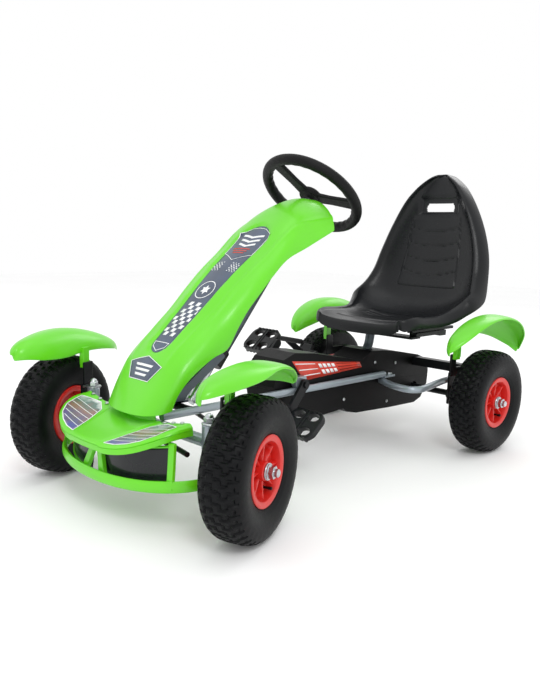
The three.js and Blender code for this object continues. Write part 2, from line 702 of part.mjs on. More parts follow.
// The chain case: two moulded halves that meet on a sloping line, with holes for what passes through.
function chainCase() {
  const outline = [
    [-125, 195],
    [-118, 232],
    [-98, 255],
    [-61, 268],
    [5, 261],
    [183, 226],
    [225, 246],
    [279, 243],
    [348, 233],
    [436, 217],
    [482, 200],
    [491, 167],
    [488, 131],
    [462, 94],
    [429, 83],
    [312, 86],
    [172, 93],
    [135, 101],
    [120, 112],
    [3, 105],
    [-90, 128],
    [-117, 157],
  ];
  const centre = [184, 168];
  const shrink = ([y, z]) => {
    const dy = y - centre[0];
    const dz = z - centre[1];
    const length = Math.hypot(dy, dz);
    const k = (length - 3.6) / length;
    return [centre[0] + dy * k, centre[1] + dz * k];
  };
  const outer = slabX(outline, -CASE_HALF, CASE_HALF);
  const inner = slabX(outline.map(shrink), -CASE_HALF + CASE_WALL, CASE_HALF - CASE_WALL);
  const clear = 1;
  const passages = [
    hoop(RAIL_R + clear),
    rodX(-80, 80, CRANK_Y, CRANK_Z, 13, 20),
    rodX(-80, 80, REAR_Y, AXLE_Z, 14, 20),
    box(-80, 80, REAR_Y - 13 - clear, REAR_Y + 13 + clear, REAR_BEAM.low - clear, REAR_BEAM.high + clear),
    seatPostTube(12 + clear),
  ];
  const shell = shaped([outer], [inner, ...passages]);
  const split = (low, high) => [
    [-140, low],
    [520, low - 36],
    [520, high - 36],
    [-140, high],
  ];
  add("chain_case_upper", shaped([shell], [slabX(split(-200, 190), -80, 80)]), CASE_BLACK);
  add("chain_case_lower", shaped([shell], [slabX(split(190 - GAP, 600), -80, 80)]), CASE_BLACK);
}

// ---- Seat ---------------------------------------------------------------------------------------------------
const seatPostTube = (radius) =>
  bentTube([v(0, 262, 174.8), v(0, 252, 200), v(0, 258, 230), v(0, 272, 256), v(0, 278, 288)], radius, 8, 10);

function seat() {
  const lineY = [220, 258, 310, 360, 410, 462, 508, 538, 556, 568, 577, 583];
  const lineZ = [315, 318, 315, 313, 315, 329, 365, 425, 495, 570, 645, 714];
  const half = [154, 166, 170, 178, 194, 212, 212, 196, 180, 150, 104, 36];
  const bolster = [12, 16, 18, 22, 34, 50, 46, 36, 32, 30, 28, 10];
  const surface = (u, w) => {
    const y = through(lineY, u);
    const z = through(lineZ, u);
    const step = 0.01;
    const tangent = v(0, through(lineY, u + step) - through(lineY, u - step),
      through(lineZ, u + step) - through(lineZ, u - step)).normalize();
    const inward = v(0, -tangent.z, tangent.y);
    const rise = through(bolster, u) * Math.abs(w) ** 3;
    const width = through(half, u) * (1 - 0.06 * Math.abs(w) ** 3);
    return v(width * w, y, z).addScaledVector(inward, rise);
  };
  const shell = panel(surface, 16, 8, SEAT_T);
  const slotEnds = [-1, 1].map((s) => rod(v(s * 42, 500, 629), v(s * 42, 640, 617), 16, 14));
  const slotMiddle = box(-42, 42, -70, 70, -16, 16).rotateX(THREE.MathUtils.degToRad(-4.9)).translate(0, 570, 623);
  add("seat_shell", shaped([shell], [...slotEnds, slotMiddle]), SEAT_BLACK);

  for (const [side, s] of SIDES) {
    const x = s * 128;
    add(`seat_rail_${side}`, box(x - 8, x + 8, 268, 462, 298, 306), DARK_STEEL);
  }
  const runners = SIDES.map(([, s]) => box(s * 128 - 11, s * 128 + 11, 284, 422, 287, 297.7));
  const head = box(-139, 139, 262, 302, 283, 289);
  const back = box(-139, 139, 394, 422, 283, 289);
  add("seat_stand", shaped([seatPostTube(12), head, back, ...runners]), DARK_STEEL);
}

// ---- Bodywork -----------------------------------------------------------------------------------------------
function fairing() {
  const crownY = [-487, -455, -422, -376, -326, -277, -228, -176, -128, -78, -28, 17];
  const crownZ = [188, 241, 293, 337, 383, 429, 471, 511, 553, 591, 611, 613];
  const edgeY = [-438, -427, -400, -352, -314, -288, -261, -226, -190, -148, -88, -2];
  const edgeZ = [200, 228, 259, 291, 307, 344, 380, 414, 448, 481, 506, 543];
  const half = [88, 92, 96, 99, 100, 100, 100, 99, 98, 97, 96, 95];
  const surface = (u, w) => {
    const a = (Math.PI / 2) * w;
    const across = Math.sign(w) * Math.abs(Math.sin(a)) ** 0.85;
    const drop = 1 - Math.cos(a) ** 0.75;
    const cy = through(crownY, u);
    const cz = through(crownZ, u);
    return v(
      through(half, u) * across,
      cy + (through(edgeY, u) - cy) * drop,
      cz + (through(edgeZ, u) - cz) * drop,
    );
  };
  const shell = panel(surface, 13, 8, SHELL_T);
  const hole = rod(onShaft(-10), onShaft(120), COLUMN_R + 1, 20);
  add("fairing", shaped([shell], [hole]), GREEN);
}

// Superellipse front line of the nose, t from 0 (left end) to 1 (right end).
function noseLine(half, depth, backY, t, power) {
  const a = Math.PI * t;
  const x = half * Math.sign(Math.cos(a)) * Math.abs(Math.cos(a)) ** (2 / power);
  const y = backY - depth * Math.sin(a) ** (2 / power);
  return [x, y];
}

function nose() {
  const surface = (u, w) => {
    const t = (w + 1) / 2;
    const [fx, fy] = noseLine(176, 113, -459, t, 2.6);
    const x = 168 * (1 - 2 * t) * (1 - u) + fx * u;
    const y = -457 * (1 - u) + fy * u;
    const frontZ = 150 + 40 * Math.abs(fx / 176) ** 3;
    const backZ = 169 + 26 * Math.abs(x / 168) ** 1.5;
    return v(x, y, backZ * (1 - u) + frontZ * u);
  };
  const skin = panel((u, w) => surface(u, -w), 3, 14, 4);
  const lip = panel((u, w) => {
    const p = surface(1, w);
    return v(p.x, p.y + 1, p.z - 12 * u);
  }, 1, 14, 4);
  add("nose_panel", shaped([skin, lip]), GREEN);

  const band = panel((u, w) => {
    const [x, y] = noseLine(205, 110, -450, 0.02 + 0.96 * u, 2.1);
    return v(x, y, 88 + 8 * Math.abs(x / 205) ** 2 + 13 * w);
  }, 18, 2, 10);
  const posts = [box(-12, 12, -562, -552, 90, 136)];
  for (const s of [-1, 1]) {
    posts.push(rod(v(s * 176, -508, 92), v(s * 169, -495, 170), 6, 8));
  }
  add("bumper", shaped([band, ...posts]), GREEN);

  for (const [side, s] of SIDES) {
    const corner = [
      v(s * 14, -530, 84),
      v(s * 160, -497, 106),
      v(s * 160, -495, 152),
      v(s * 14, -538, 128),
    ];
    const face = (u, w) => {
      const t = (w + 1) / 2;
      const low = corner[0].clone().lerp(corner[1], t);
      const high = corner[3].clone().lerp(corner[2], t);
      return low.lerp(high, u);
    };
    add(`grille_${side}`, panel((u, w) => face(u, w * s), 2, 4, 3), SMOKE);
  }
  const stay = [v(0, -458, 146), v(80, -460, 147), v(140, -466, 145), v(168, -476, 131), v(180, -483, 118)];
  const stayPath = [...stay.slice(1).map((p) => v(-p.x, p.y, p.z)).reverse(), ...stay];
  add("bumper_stay", bentTube(stayPath, 5, 14, 8), DARK_STEEL);
}

frame();
brake();
steering();
for (const [side, s] of SIDES) frontCorner(side, s);
tieRods();
rearWheels();
drive();
chainCase();
seat();
fairing();
nose();

export default root;
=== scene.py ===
import json
from math import acos, asin, atan2, copysign, cos, exp, floor, hypot, pi, radians, sin, sqrt

import bmesh
import bpy
from mathutils import Matrix, Vector


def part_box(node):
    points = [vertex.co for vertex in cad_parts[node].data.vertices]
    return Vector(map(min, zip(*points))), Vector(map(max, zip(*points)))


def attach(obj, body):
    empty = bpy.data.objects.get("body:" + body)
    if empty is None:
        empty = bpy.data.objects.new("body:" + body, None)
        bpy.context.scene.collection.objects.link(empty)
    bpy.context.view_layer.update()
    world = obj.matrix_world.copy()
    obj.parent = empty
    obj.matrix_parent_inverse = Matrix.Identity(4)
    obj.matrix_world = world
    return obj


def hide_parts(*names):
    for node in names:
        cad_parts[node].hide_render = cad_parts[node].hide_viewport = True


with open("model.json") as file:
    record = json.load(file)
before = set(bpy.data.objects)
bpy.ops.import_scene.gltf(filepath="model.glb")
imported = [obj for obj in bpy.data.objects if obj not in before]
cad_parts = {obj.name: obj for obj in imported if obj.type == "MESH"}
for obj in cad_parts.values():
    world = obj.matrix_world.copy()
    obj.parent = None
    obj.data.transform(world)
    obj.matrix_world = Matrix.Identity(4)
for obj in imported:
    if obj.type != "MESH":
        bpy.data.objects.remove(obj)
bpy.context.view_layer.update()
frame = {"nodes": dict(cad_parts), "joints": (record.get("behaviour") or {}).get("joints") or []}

# Pedal go kart, in millimetres in the CAD's frame: +Z up, driving towards -Y, the driver's left at +X.
MM = 0.001
joints = {joint["name"]: joint for joint in frame["joints"]}
SIDES = (("left", 1), ("right", -1))
STEER_REST = radians(20)  # the front wheels' heading in the rest pose


def middle(node):
    low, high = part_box(node)
    return (low + high) / 2 / MM


def joint_place(name):
    return Vector(joints[name]["pos_m"]) / MM


# ---- Materials ----
def linear(hex_colour):
    channels = [((hex_colour >> shift) & 255) / 255 for shift in (16, 8, 0)]
    return tuple(c / 12.92 if c <= 0.04045 else ((c + 0.055) / 1.055) ** 2.4 for c in channels)


def add_node(tree, kind, source=None, sink="Vector", **inputs):
    """A shader node with its inputs set, and with its sink input fed by source."""
    node = tree.nodes.new("ShaderNode" + kind)
    for name, value in inputs.items():
        node.inputs[name.replace("_", " ")].default_value = value
    if source is not None:
        tree.links.new(source, node.inputs[sink])
    return node


def material(name, colour, roughness, metallic=0.0, coat=0.0, variation=0.12, patch=6.0, grain=900.0,
             grain_depth=0.00006, rough_spread=0.08, cells=False, shine=0.5):
    """A finish with slow colour and roughness drift (patch, per metre) and a fine surface grain."""
    made = bpy.data.materials.new(name)
    made.use_nodes = True
    tree = made.node_tree
    shader = tree.nodes["Principled BSDF"]
    for key, value in (("Metallic", metallic), ("Coat Weight", coat), ("Coat Roughness", 0.12),
                       ("Specular IOR Level", shine)):
        shader.inputs[key].default_value = value
    place = add_node(tree, "TexCoord").outputs["Object"]

    drift = add_node(tree, "TexNoise", place, Scale=patch, Detail=6)
    tint = add_node(tree, "ValToRGB", drift.outputs["Fac"], "Fac")
    ends = ((0.3, 1 - variation), (0.7, 1 + variation))
    for element, (position, factor) in zip(tint.color_ramp.elements, ends):
        element.color = (*[min(c * factor, 1) for c in linear(colour)], 1)
        element.position = position
    wear = add_node(tree, "TexNoise", place, Scale=patch * 9, Detail=8)
    spread = add_node(tree, "MapRange", wear.outputs["Fac"], "Value", To_Min=roughness - rough_spread,
                      To_Max=roughness + rough_spread)
    fine = add_node(tree, "TexVoronoi" if cells else "TexNoise", place, Scale=grain)
    bump = add_node(tree, "Bump", fine.outputs["Distance" if cells else "Fac"], "Height", Strength=0.6,
                    Distance=grain_depth)
    for source, sink in ((tint.outputs["Color"], "Base Color"), (spread.outputs["Result"], "Roughness"),
                         (bump.outputs["Normal"], "Normal")):
        tree.links.new(source, shader.inputs[sink])
    return made


GREEN = material("green_plastic", 0x64CF14, 0.36, coat=0.2, variation=0.06, patch=5, grain=700)
SEAT = material("black_seat", 0x0F1114, 0.3, variation=0.2, patch=7, grain=1100, grain_depth=0.00012,
                cells=True, shine=0.3)
CASE = material("black_plastic", 0x0A0A0B, 0.42, variation=0.2, grain=1000, grain_depth=0.0001, cells=True,
                shine=0.14)
FRAME_PAINT = material("frame_paint", 0x98A2AA, 0.34, metallic=0.55, coat=0.3, variation=0.1, grain=500)
DARK = material("dark_steel", 0x151618, 0.34, metallic=0.1, coat=0.05, variation=0.25, grain=450,
                shine=0.22)
ZINC = material("zinc", 0xC4C8CB, 0.3, metallic=1.0, variation=0.12, patch=60, grain=1500,
                rough_spread=0.12)
RUBBER = material("tyre", 0x0B0C0E, 0.46, variation=0.25, patch=18, grain=1300, grain_depth=0.00015,
                  cells=True, shine=0.14)
RED = material("red_plastic", 0xCE2018, 0.38, coat=0.15, variation=0.08, patch=12, grain=800)
GRIP = material("grip", 0x0B0B0C, 0.5, variation=0.2, patch=20, grain=1600, grain_depth=0.0003, cells=True,
                shine=0.2)
SMOKE = material("smoke", 0x191B1F, 0.22, coat=0.3, variation=0.35, patch=14, grain=300, shine=0.22)
STEEL = material("grey_steel", 0x474F57, 0.36, metallic=0.5, coat=0.2, variation=0.2, grain=450)
SLATE = material("sticker_slate", 0x3C4A60, 0.4, coat=0.4, variation=0.3, patch=16, grain=500)
WHITE = material("sticker_white", 0xF2F4F5, 0.42, coat=0.3, variation=0.04, patch=20, grain=500)
ORANGE = material("sticker_orange", 0xC8321C, 0.4, coat=0.3, variation=0.18, patch=22, grain=500)


def lamp_sticker():
    """Printed headlight: the colour runs from violet at the front through brown to teal at the back."""
    made = material("sticker_lamp", 0x5A6272, 0.3, coat=0.6, variation=0.3, patch=30, grain=500)
    tree = made.node_tree
    place = tree.nodes["Texture Coordinate"].outputs["Object"]
    split = add_node(tree, "SeparateXYZ", place)
    along = add_node(tree, "MapRange", split.outputs["Y"], "Value", From_Min=-0.565, From_Max=-0.46)
    drift = add_node(tree, "TexNoise", place, Scale=45, Detail=9)
    shift = add_node(tree, "Math", drift.outputs["Fac"], 0)
    shift.operation = "MULTIPLY_ADD"
    shift.inputs[1].default_value = 0.7
    shift.inputs[2].default_value = -0.35
    mix = add_node(tree, "Math", along.outputs["Result"], 0)
    tree.links.new(shift.outputs["Value"], mix.inputs[1])
    tint = add_node(tree, "ValToRGB", mix.outputs["Value"], "Fac")
    tint.color_ramp.elements.remove(tint.color_ramp.elements[0])
    stops = ((0.0, 0x5A56A8), (0.3, 0x6A5A78), (0.55, 0x8A6458), (0.75, 0x4A6E66), (1.0, 0x39505A))
    for position, colour in stops:
        tint.color_ramp.elements.new(position).color = (*linear(colour), 1)
    tree.links.new(tint.outputs["Color"], tree.nodes["Principled BSDF"].inputs["Base Color"])
    return made


LAMP = lamp_sticker()


# ---- Mesh helpers ----
# A shape is (points, faces); shapes are put in place, joined and turned into objects.
def joined(*shapes):
    points, faces = [], []
    for some_points, some_faces in shapes:
        start = len(points)
        points += some_points
        faces += [tuple(start + i for i in face) for face in some_faces]
    return points, faces


def placed(shape, matrix):
    return [matrix @ Vector(p) for p in shape[0]], shape[1]


def moved(shape, place):
    return placed(shape, Matrix.Translation(place))


def upright(shape, place=(0, 0, 0)):
    """A shape made about X, stood up so that its axis is +Z, at a place."""
    return placed(shape, Matrix.Translation(place) @ Matrix.Rotation(-pi / 2, 4, "Y"))


def handed(shape, sign):
    """The shape for a side: as it is on the left, and mirrored on the right, with its faces still out."""
    if sign > 0:
        return shape
    return [Vector((-p[0], p[1], p[2])) for p in shape[0]], [face[::-1] for face in shape[1]]


def piece(name, shape, finish, replaces=(), body="frame", slot=None, bevel=0.0, subdivide=0, thickness=0.0,
          sharp=38):
    """A mesh object that rides on a CAD body and stands for some CAD nodes.

    The slot argument is not used, and no slot is taken from the finish's name. Blender adds .001 to a
    finish's name where the CAD has a material of that name.
    """
    mesh = bpy.data.meshes.new(name)
    mesh.from_pydata([Vector(p) * MM for p in shape[0]], [], shape[1])
    obj = bpy.data.objects.new(name, mesh)
    bpy.context.scene.collection.objects.link(obj)
    work = bmesh.new()
    work.from_mesh(mesh)
    bmesh.ops.remove_doubles(work, verts=work.verts, dist=1e-6)
    bmesh.ops.recalc_face_normals(work, faces=work.faces)
    work.to_mesh(mesh)
    work.free()
    for polygon in mesh.polygons:
        polygon.use_smooth = True
    if sharp:
        mesh.set_sharp_from_angle(angle=radians(sharp))
    if thickness:
        solid = obj.modifiers.new("thickness", "SOLIDIFY")
        solid.thickness = thickness * MM
        solid.offset = 0
    if bevel:
        bevelled(obj, bevel, 2, 35).harden_normals = True
    if subdivide:
        smooth = obj.modifiers.new("smooth", "SUBSURF")
        smooth.levels = smooth.render_levels = subdivide
    mesh.materials.append(finish)
    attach(obj, body)
    slot or finish.name.split(".")[0]
    if replaces:
        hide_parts(*replaces)


def bevelled(obj, width, segments, degrees):
    edge = obj.modifiers.new("edge", "BEVEL")
    edge.width = width * MM
    edge.segments = segments
    edge.limit_method = "ANGLE"
    edge.angle_limit = radians(degrees)
    return edge


def grid(surface, rows, columns, keep=None):
    """A sheet through surface(u, w), u in 0..1 and w in -1..1. keep(point) says which cells stay."""
    points = [surface(i / rows, 2 * j / columns - 1) for i in range(rows + 1) for j in range(columns + 1)]
    faces = []
    for i in range(rows):
        for j in range(columns):
            corner = i * (columns + 1) + j
            face = (corner, corner + 1, corner + columns + 2, corner + columns + 1)
            if keep is None or all(keep(points[k]) for k in face):
                faces.append(face)
    return points, faces


def circle(count, wide=1.0, high=1.0):
    """Points round a circle, or round an oval, about the origin."""
    angles = [2 * pi * k / count for k in range(count)]
    return [(wide * cos(a), high * sin(a)) for a in angles]


def skinned(points, sides, closed=False):
    """A skin over rows of points, each row a ring with this many sides. The rows close up, or end flat."""
    rows = len(points) // sides
    faces = []
    for row in range(rows if closed else rows - 1):
        here, there = row * sides, (row + 1) % rows * sides
        for k in range(sides):
            n = (k + 1) % sides
            faces.append((here + k, here + n, there + n, there + k))
    if not closed:
        faces += [tuple(range(sides))[::-1], tuple((rows - 1) * sides + k for k in range(sides))]
    return points, faces


def ring_solid(profile, segments, wave=None):
    """A closed profile of (axial, radius) points turned about X. wave(angle, axial, radius) may move one."""
    points = []
    for k in range(segments):
        angle = 2 * pi * k / segments
        for axial, radius in profile:
            a, r = wave(angle, axial, radius) if wave else (axial, radius)
            points.append(Vector((a, r * cos(angle), r * sin(angle))))
    return skinned(points, len(profile), closed=True)


def turned(profile, segments):
    """A solid turned about X from an open profile of (axial, radius) points, closed by flat ends."""
    points = [Vector((axial, radius * c, radius * s)) for axial, radius in profile
              for c, s in circle(segments)]
    return skinned(points, segments)


def through(values, t):
    """A smooth value through evenly spaced numbers, for t in 0..1."""
    last = len(values) - 1
    place = min(max(t, 0), 1) * last
    i = min(int(place), last - 1)
    s = place - i
    before, here, there, after = values[max(i - 1, 0)], values[i], values[i + 1], values[min(i + 2, last)]
    return ((2 * s**3 - 3 * s**2 + 1) * here + (s**3 - 2 * s**2 + s) * (there - before) / 2
            + (3 * s**2 - 2 * s**3) * there + (s**3 - s**2) * (after - here) / 2)


def smooth_path(points, steps):
    """A smooth curve through points."""
    columns = list(zip(*map(Vector, points)))
    return [Vector([through(column, i / steps) for column in columns]) for i in range(steps + 1)]


def tube(path, radius, sides=20, radii=None):
    """A round bar along a path, with flat ends. radii gives each point of the path a radius of its own."""
    path = [Vector(p) for p in path]
    points, side = [], None
    for i, p in enumerate(path):
        along = (path[min(i + 1, len(path) - 1)] - path[max(i - 1, 0)]).normalized()
        if side is None:
            side = along.orthogonal().normalized()
        side = (side - along * side.dot(along)).normalized()
        up = along.cross(side)
        r = radii[i] if radii else radius
        points += [p + (side * c + up * s) * r for c, s in circle(sides)]
    return skinned(points, sides)


def rod(a, b, radius, sides=24):
    return tube([a, b], radius, sides)


def block(low, high):
    return prism(rectangle(low[1], low[2], high[1], high[2]), low[0], high[0])


def prism(outline, low, high, axis=0):
    """A flat outline made thick: of [y, z] points along X (axis 0), or of [x, y] points along Z (axis 2)."""
    points = [Vector((h, *p) if axis == 0 else (*p, h)) for h in (low, high) for p in outline]
    return skinned(points, len(outline))


def rounded(corners, radius, steps=5):
    """A 2-D outline with its corners rounded."""
    made = []
    for i, corner in enumerate(corners):
        corner = Vector(corner)
        back = Vector(corners[i - 1]) - corner
        ahead = Vector(corners[(i + 1) % len(corners)]) - corner
        r = min(radius, back.length * 0.45, ahead.length * 0.45)
        start, end = corner + back.normalized() * r, corner + ahead.normalized() * r
        for k in range(steps + 1):
            t = k / steps
            made.append(start * (1 - t) ** 2 + corner * 2 * t * (1 - t) + end * t**2)
    return made


def easing(distance, reach):
    """A quarter circle's rise, from 0 at an end to 1 at reach from it."""
    t = min(1, distance / reach)
    return sqrt(max(t * (2 - t), 0))


def soft_step(value, width):
    t = min(max(value / width + 0.5, 0), 1)
    return t * t * (3 - 2 * t)


def bell(offset, width):
    """The height across a groove or a ridge: 1 in its middle."""
    return exp(-((offset / width) ** 2))


def rectangle(low_a, low_b, high_a, high_b):
    return [(low_a, low_b), (high_a, low_b), (high_a, high_b), (low_a, high_b)]


def thick_line(a, b, half, reach=0.0):
    """The outline of a straight line with square ends, which go past a and b by reach."""
    across = Vector((a.y - b.y, b.x - a.x)).normalized() * half
    along = (b - a).normalized() * reach
    return [a - along - across, b + along - across, b + along + across, a - along + across]


def hexagon(middle_x, radius, width):
    """A hex nut with chamfered corners, its axis along X."""
    low, high = middle_x - width / 2, middle_x + width / 2
    return turned([(low, radius * 0.93), (low + 0.8, radius), (high - 0.8, radius), (high, radius * 0.9)],
                  6)


def laid(outline, surface, lift=0.5, cell=6.0):
    """A sticker: a flat outline of [a, b] points, cut into small cells and laid on surface(a, b, lift)."""
    work = bmesh.new()
    work.faces.new([work.verts.new((p[0], p[1], 0)) for p in outline])
    for axis in (0, 1):
        values = [p[axis] for p in outline]
        cut = floor(min(values) / cell + 1) * cell
        while cut < max(values):
            spot, normal = [0, 0, 0], [0, 0, 0]
            spot[axis], normal[axis] = cut, 1
            bmesh.ops.bisect_plane(work, geom=work.verts[:] + work.edges[:] + work.faces[:], plane_co=spot,
                                   plane_no=normal)
            cut += cell
    work.verts.index_update()
    points = [surface(v.co.x, v.co.y, lift) for v in work.verts]
    faces = [tuple(v.index for v in face.verts) for face in work.faces]
    work.free()
    return points, faces


def stickers(name, marks, slot):
    """One piece for each finish in marks, a list of (finish, shape)."""
    for finish in dict.fromkeys(finish for finish, _ in marks):
        shapes = [shape for its_finish, shape in marks if its_finish is finish]
        label = finish.name.replace("sticker_", "")
        piece(f"{name}_{label}", joined(*shapes), finish, slot=slot, thickness=0.25, sharp=0)


# ---- Wheels ----
AXLE_R = 8
TYRE_R = 129.2
TREAD_BLOCKS = 40
CELLS_PER_BLOCK = 8
TREAD_DEPTH = 3.2
TREAD_ROWS = (-26, -13, 0, 13, 26)
RIBS = 8


def tyre_profile():
    bead = [(29.9, 53.5), (30.2, 60), (31.2, 65), (33.5, 67.5)]
    sidewall = [(35.2, 71), (38.5, 79), (41, 88), (42.2, 97), (41.6, 106), (39.4, 114), (35.5, 120.6)]
    crown = [(29, 125.6), (20, 128.3), (10, 129.1), (0, TYRE_R)]
    axial, radius = zip(*bead, *sidewall, *crown)
    steps = 34
    half = [(through(axial, i / steps), through(radius, i / steps)) for i in range(steps + 1)]
    return half + [(-a, r) for a, r in half[-2::-1]]


def tread(angle, axial, radius):
    """Blocks in five staggered rows, shoulder lugs, and raised rings on the sidewall."""
    turn = angle / (2 * pi) * TREAD_BLOCKS
    if radius > 118:
        row = min(range(len(TREAD_ROWS)), key=lambda k: abs(TREAD_ROWS[k] - axial))
        zigzag = 1.6 * sin(2 * pi * turn)
        off_row = abs(axial - TREAD_ROWS[row] - zigzag)
        across = (turn + (0.5 if row % 2 else 0)) % 1
        groove = across < 0.16 or (off_row > 5.4 and abs(axial) < 32)
        return axial, radius - (TREAD_DEPTH if groove else 0)
    if radius > 106:
        lug = (turn % 1) > 0.45
        return axial + (0.9 if lug else 0) * copysign(1, axial) * 0.2, radius
    ridge = 0.7 * (bell(radius - 99, 1.6) + bell(radius - 76, 1.6))
    return axial + copysign(ridge, axial) * (1 if abs(axial) < 41.6 else 0.4), radius


def rim_shapes():
    """The barrel, the web with its ribs, and the hub."""
    barrel = [(29.4, 53), (29.4, 63.2), (30.6, 64.4), (33, 64), (34, 62), (33.6, 57), (31.5, 52.6),
              (22, 49.6), (0, 48.6), (-20, 49.6), (-32, 52), (-34, 58), (-33.6, 63), (-31, 64.4),
              (-29.4, 63), (-29.4, 53)]
    inner, outer, steps = 17, 50, 9

    def web(angle, axial, radius):
        if axial < 0:
            return axial, radius
        t = (radius - inner) / (outer - inner)
        dish = 6 + 9 * t
        top = 22 + 3 * t
        off = abs((angle * RIBS / (2 * pi) + 0.5) % 1 - 0.5) * 2 * pi / RIBS * radius
        rib = 1 / (1 + exp((off - 2.8) * 3.2))
        return dish + (top - dish) * rib, radius

    front = [(1, inner + (outer - inner) * i / steps) for i in range(steps + 1)]
    web_shape = ring_solid(front + [(-5, outer), (-5, inner)], 256, web)
    bore = AXLE_R + 0.4
    hub = ring_solid([(-33, bore), (-33, 15), (-31, 17), (24, 17.6), (29, 16.8), (31, 15), (31, bore)], 48)
    return joined(ring_solid(barrel, 96), web_shape, hub)


def valve():
    stem = turned([(0, 3.4), (8, 3.2), (9, 2.4), (19, 2.4), (19.5, 3), (25, 3), (26, 2)], 16)
    return placed(stem, Matrix.Rotation(radians(208), 4, "X") @ Matrix.Translation((6, 0, 42)))


def axle_end():
    """The washer, the nut with its flange, and the end of the axle."""
    bore = AXLE_R + 0.4
    washer = ring_solid([(-13.2, bore), (-13.2, 15), (-12.6, 15.6), (-11.6, 15), (-11.6, bore)], 40)
    flange = turned([(-11.4, 14), (-10, 14), (-9, 12)], 32)
    end = turned([(-1, AXLE_R - 0.6), (6, AXLE_R - 0.6), (7.6, AXLE_R - 2.4)], 24)
    return joined(washer, flange, hexagon(-5.6, 12, 11.6), end)


def wheel_frame(corner, side):
    """Matrix of a wheel: X is outboard, the origin is the rim's middle."""
    sign = 1 if side == "left" else -1
    if corner == "front":
        axis = Vector(joints[f"front_wheel_{side}_spin"]["axis"])
        centre = joint_place(f"front_wheel_{side}_spin")
    else:
        axis = Vector((1, 0, 0))
        centre = middle(f"rear_rim_{side}")
        centre.x = joint_place("rear_wheel_right_spin").x * -sign
    heading = atan2(axis.y, axis.x) + (0 if sign > 0 else pi)
    return Matrix.Translation(centre) @ Matrix.Rotation(heading, 4, "Z")


def wheels():
    tyre = ring_solid(tyre_profile(), TREAD_BLOCKS * CELLS_PER_BLOCK, tread)
    rim, stem, end = rim_shapes(), valve(), moved(axle_end(), (46, 0, 0))
    for corner in ("front", "rear"):
        for side, sign in SIDES:
            at = wheel_frame(corner, side)
            spinning, still = f"front_wheel_{side}", f"corner_{side}"
            if corner == "rear":
                spinning, still = "driven_axle" if sign > 0 else "rear_wheel_right", "driven_axle"
            for name, shape, finish, body, sharp in (
                ("tyre", tyre, RUBBER, spinning, 30),
                ("rim", rim, RED, spinning, 32),
                ("valve", stem, GRIP, spinning, 38),
                ("nut", end, ZINC, still, 28),
            ):
                replaces = () if name == "valve" else [f"{corner}_{name}_{side}"]
                piece(f"{name}_{corner}_{side}", placed(shape, at), finish, replaces, body=body, sharp=sharp)


# ---- Fenders ----
FENDERS = {
    "front": dict(
        radius=399, centre=(-25, -211), sweep=(-20, 32.6), post=12, post_top=150,
        inner=[-30, -46, -50, -50, -48, -40, -12], outer=[6, 24, 38, 40, 38, 24, 4],
        flank=[26, 46, 54, 47, 38, 26, 10], lip=[14, 22, 22, 11, 9, 12, 8]),
    "rear": dict(
        radius=241.5, centre=(-8, -22), sweep=(-47, 54), post=-71, post_top=176,
        inner=[-30, -44, -50, -50, -50, -42, -22], outer=[4, 26, 36, 39, 38, 24, -4],
        flank=[22, 37, 48, 52, 48, 36, 20], lip=[10, 9, 8, 8, 8, 9, 10]),
}


def fender_shape(kind):
    """A shell along an arc over the wheel, with inner and outer edges that drop by flank and lip."""
    made = FENDERS[kind]
    start, stop = (radians(a) for a in made["sweep"])

    def surface(u, w):
        angle = start + (stop - start) * u
        a = pi / 2 * w
        close = easing(min(u, 1 - u), 0.12)
        inner, outer = through(made["inner"], u), through(made["outer"], u)
        x = (inner + outer) / 2 + (outer - inner) / 2 * sin(a) * (0.12 + 0.88 * close)
        drop = through(made["flank" if w < 0 else "lip"], u) * (1 - cos(a) * close)
        r = made["radius"] - drop
        y, z = made["centre"]
        return Vector((x, y + r * sin(angle), z + r * cos(angle)))

    return grid(surface, 40, 20)


def fenders():
    for kind, made in FENDERS.items():
        y, top = made["post"], made["post_top"]
        post = block((-57.4, y - 9.5, 106), (-47, y + 9.5, top))
        ribs = [block((-47.2, y + k, 112), (-44.5, y + k + 2, top)) for k in (-8, -1, 6)]
        for side, sign in SIDES:
            front = kind == "front"
            level = Matrix.Translation(wheel_frame(kind, side).translation)
            if front:
                level = level @ Matrix.Rotation(STEER_REST, 4, "Z")
            body = f"corner_{side}" if front else "frame"
            piece(f"fender_{kind}_{side}", placed(handed(fender_shape(kind), sign), level), GREEN,
                  [f"{kind}_fender_{side}"], body=body, thickness=3.2, subdivide=1, sharp=0)
            piece(f"fender_post_{kind}_{side}", placed(handed(joined(post, *ribs), sign), level), GREEN,
                  body=body, bevel=0.8)


# ---- Fairing ----
CROWN_Y = [-487, -455, -422, -376, -326, -277, -228, -176, -128, -78, -28, 17]
CROWN_Z = [188, 241, 293, 337, 383, 429, 471, 511, 553, 591, 611, 613]
EDGE_Y = [-438, -427, -400, -352, -314, -288, -261, -226, -190, -148, -88, -2]
EDGE_Z = [200, 228, 259, 291, 307, 344, 380, 414, 448, 481, 506, 543]
HALF_WIDTH = [88, 92, 96, 99, 100, 100, 100, 99, 98, 97, 96, 95]
ARCH_STEPS = 300
HALF_SKIN = 1.7  # half the thickness of a moulding
SHAFT_TOP = joint_place("steering_turn")
SHAFT_AXIS = Vector(joints["steering_turn"]["axis"]).normalized()


def arc_lengths():
    crown = [Vector((through(CROWN_Y, i / ARCH_STEPS), through(CROWN_Z, i / ARCH_STEPS)))
             for i in range(ARCH_STEPS + 1)]
    made = [0.0]
    for a, b in zip(crown, crown[1:]):
        made.append(made[-1] + (b - a).length)
    return made


CROWN_LENGTHS = arc_lengths()
CHANNEL = (128, 516)
CHANNEL_HALF = (27, 51)
CHANNEL_DEPTH = 5.0


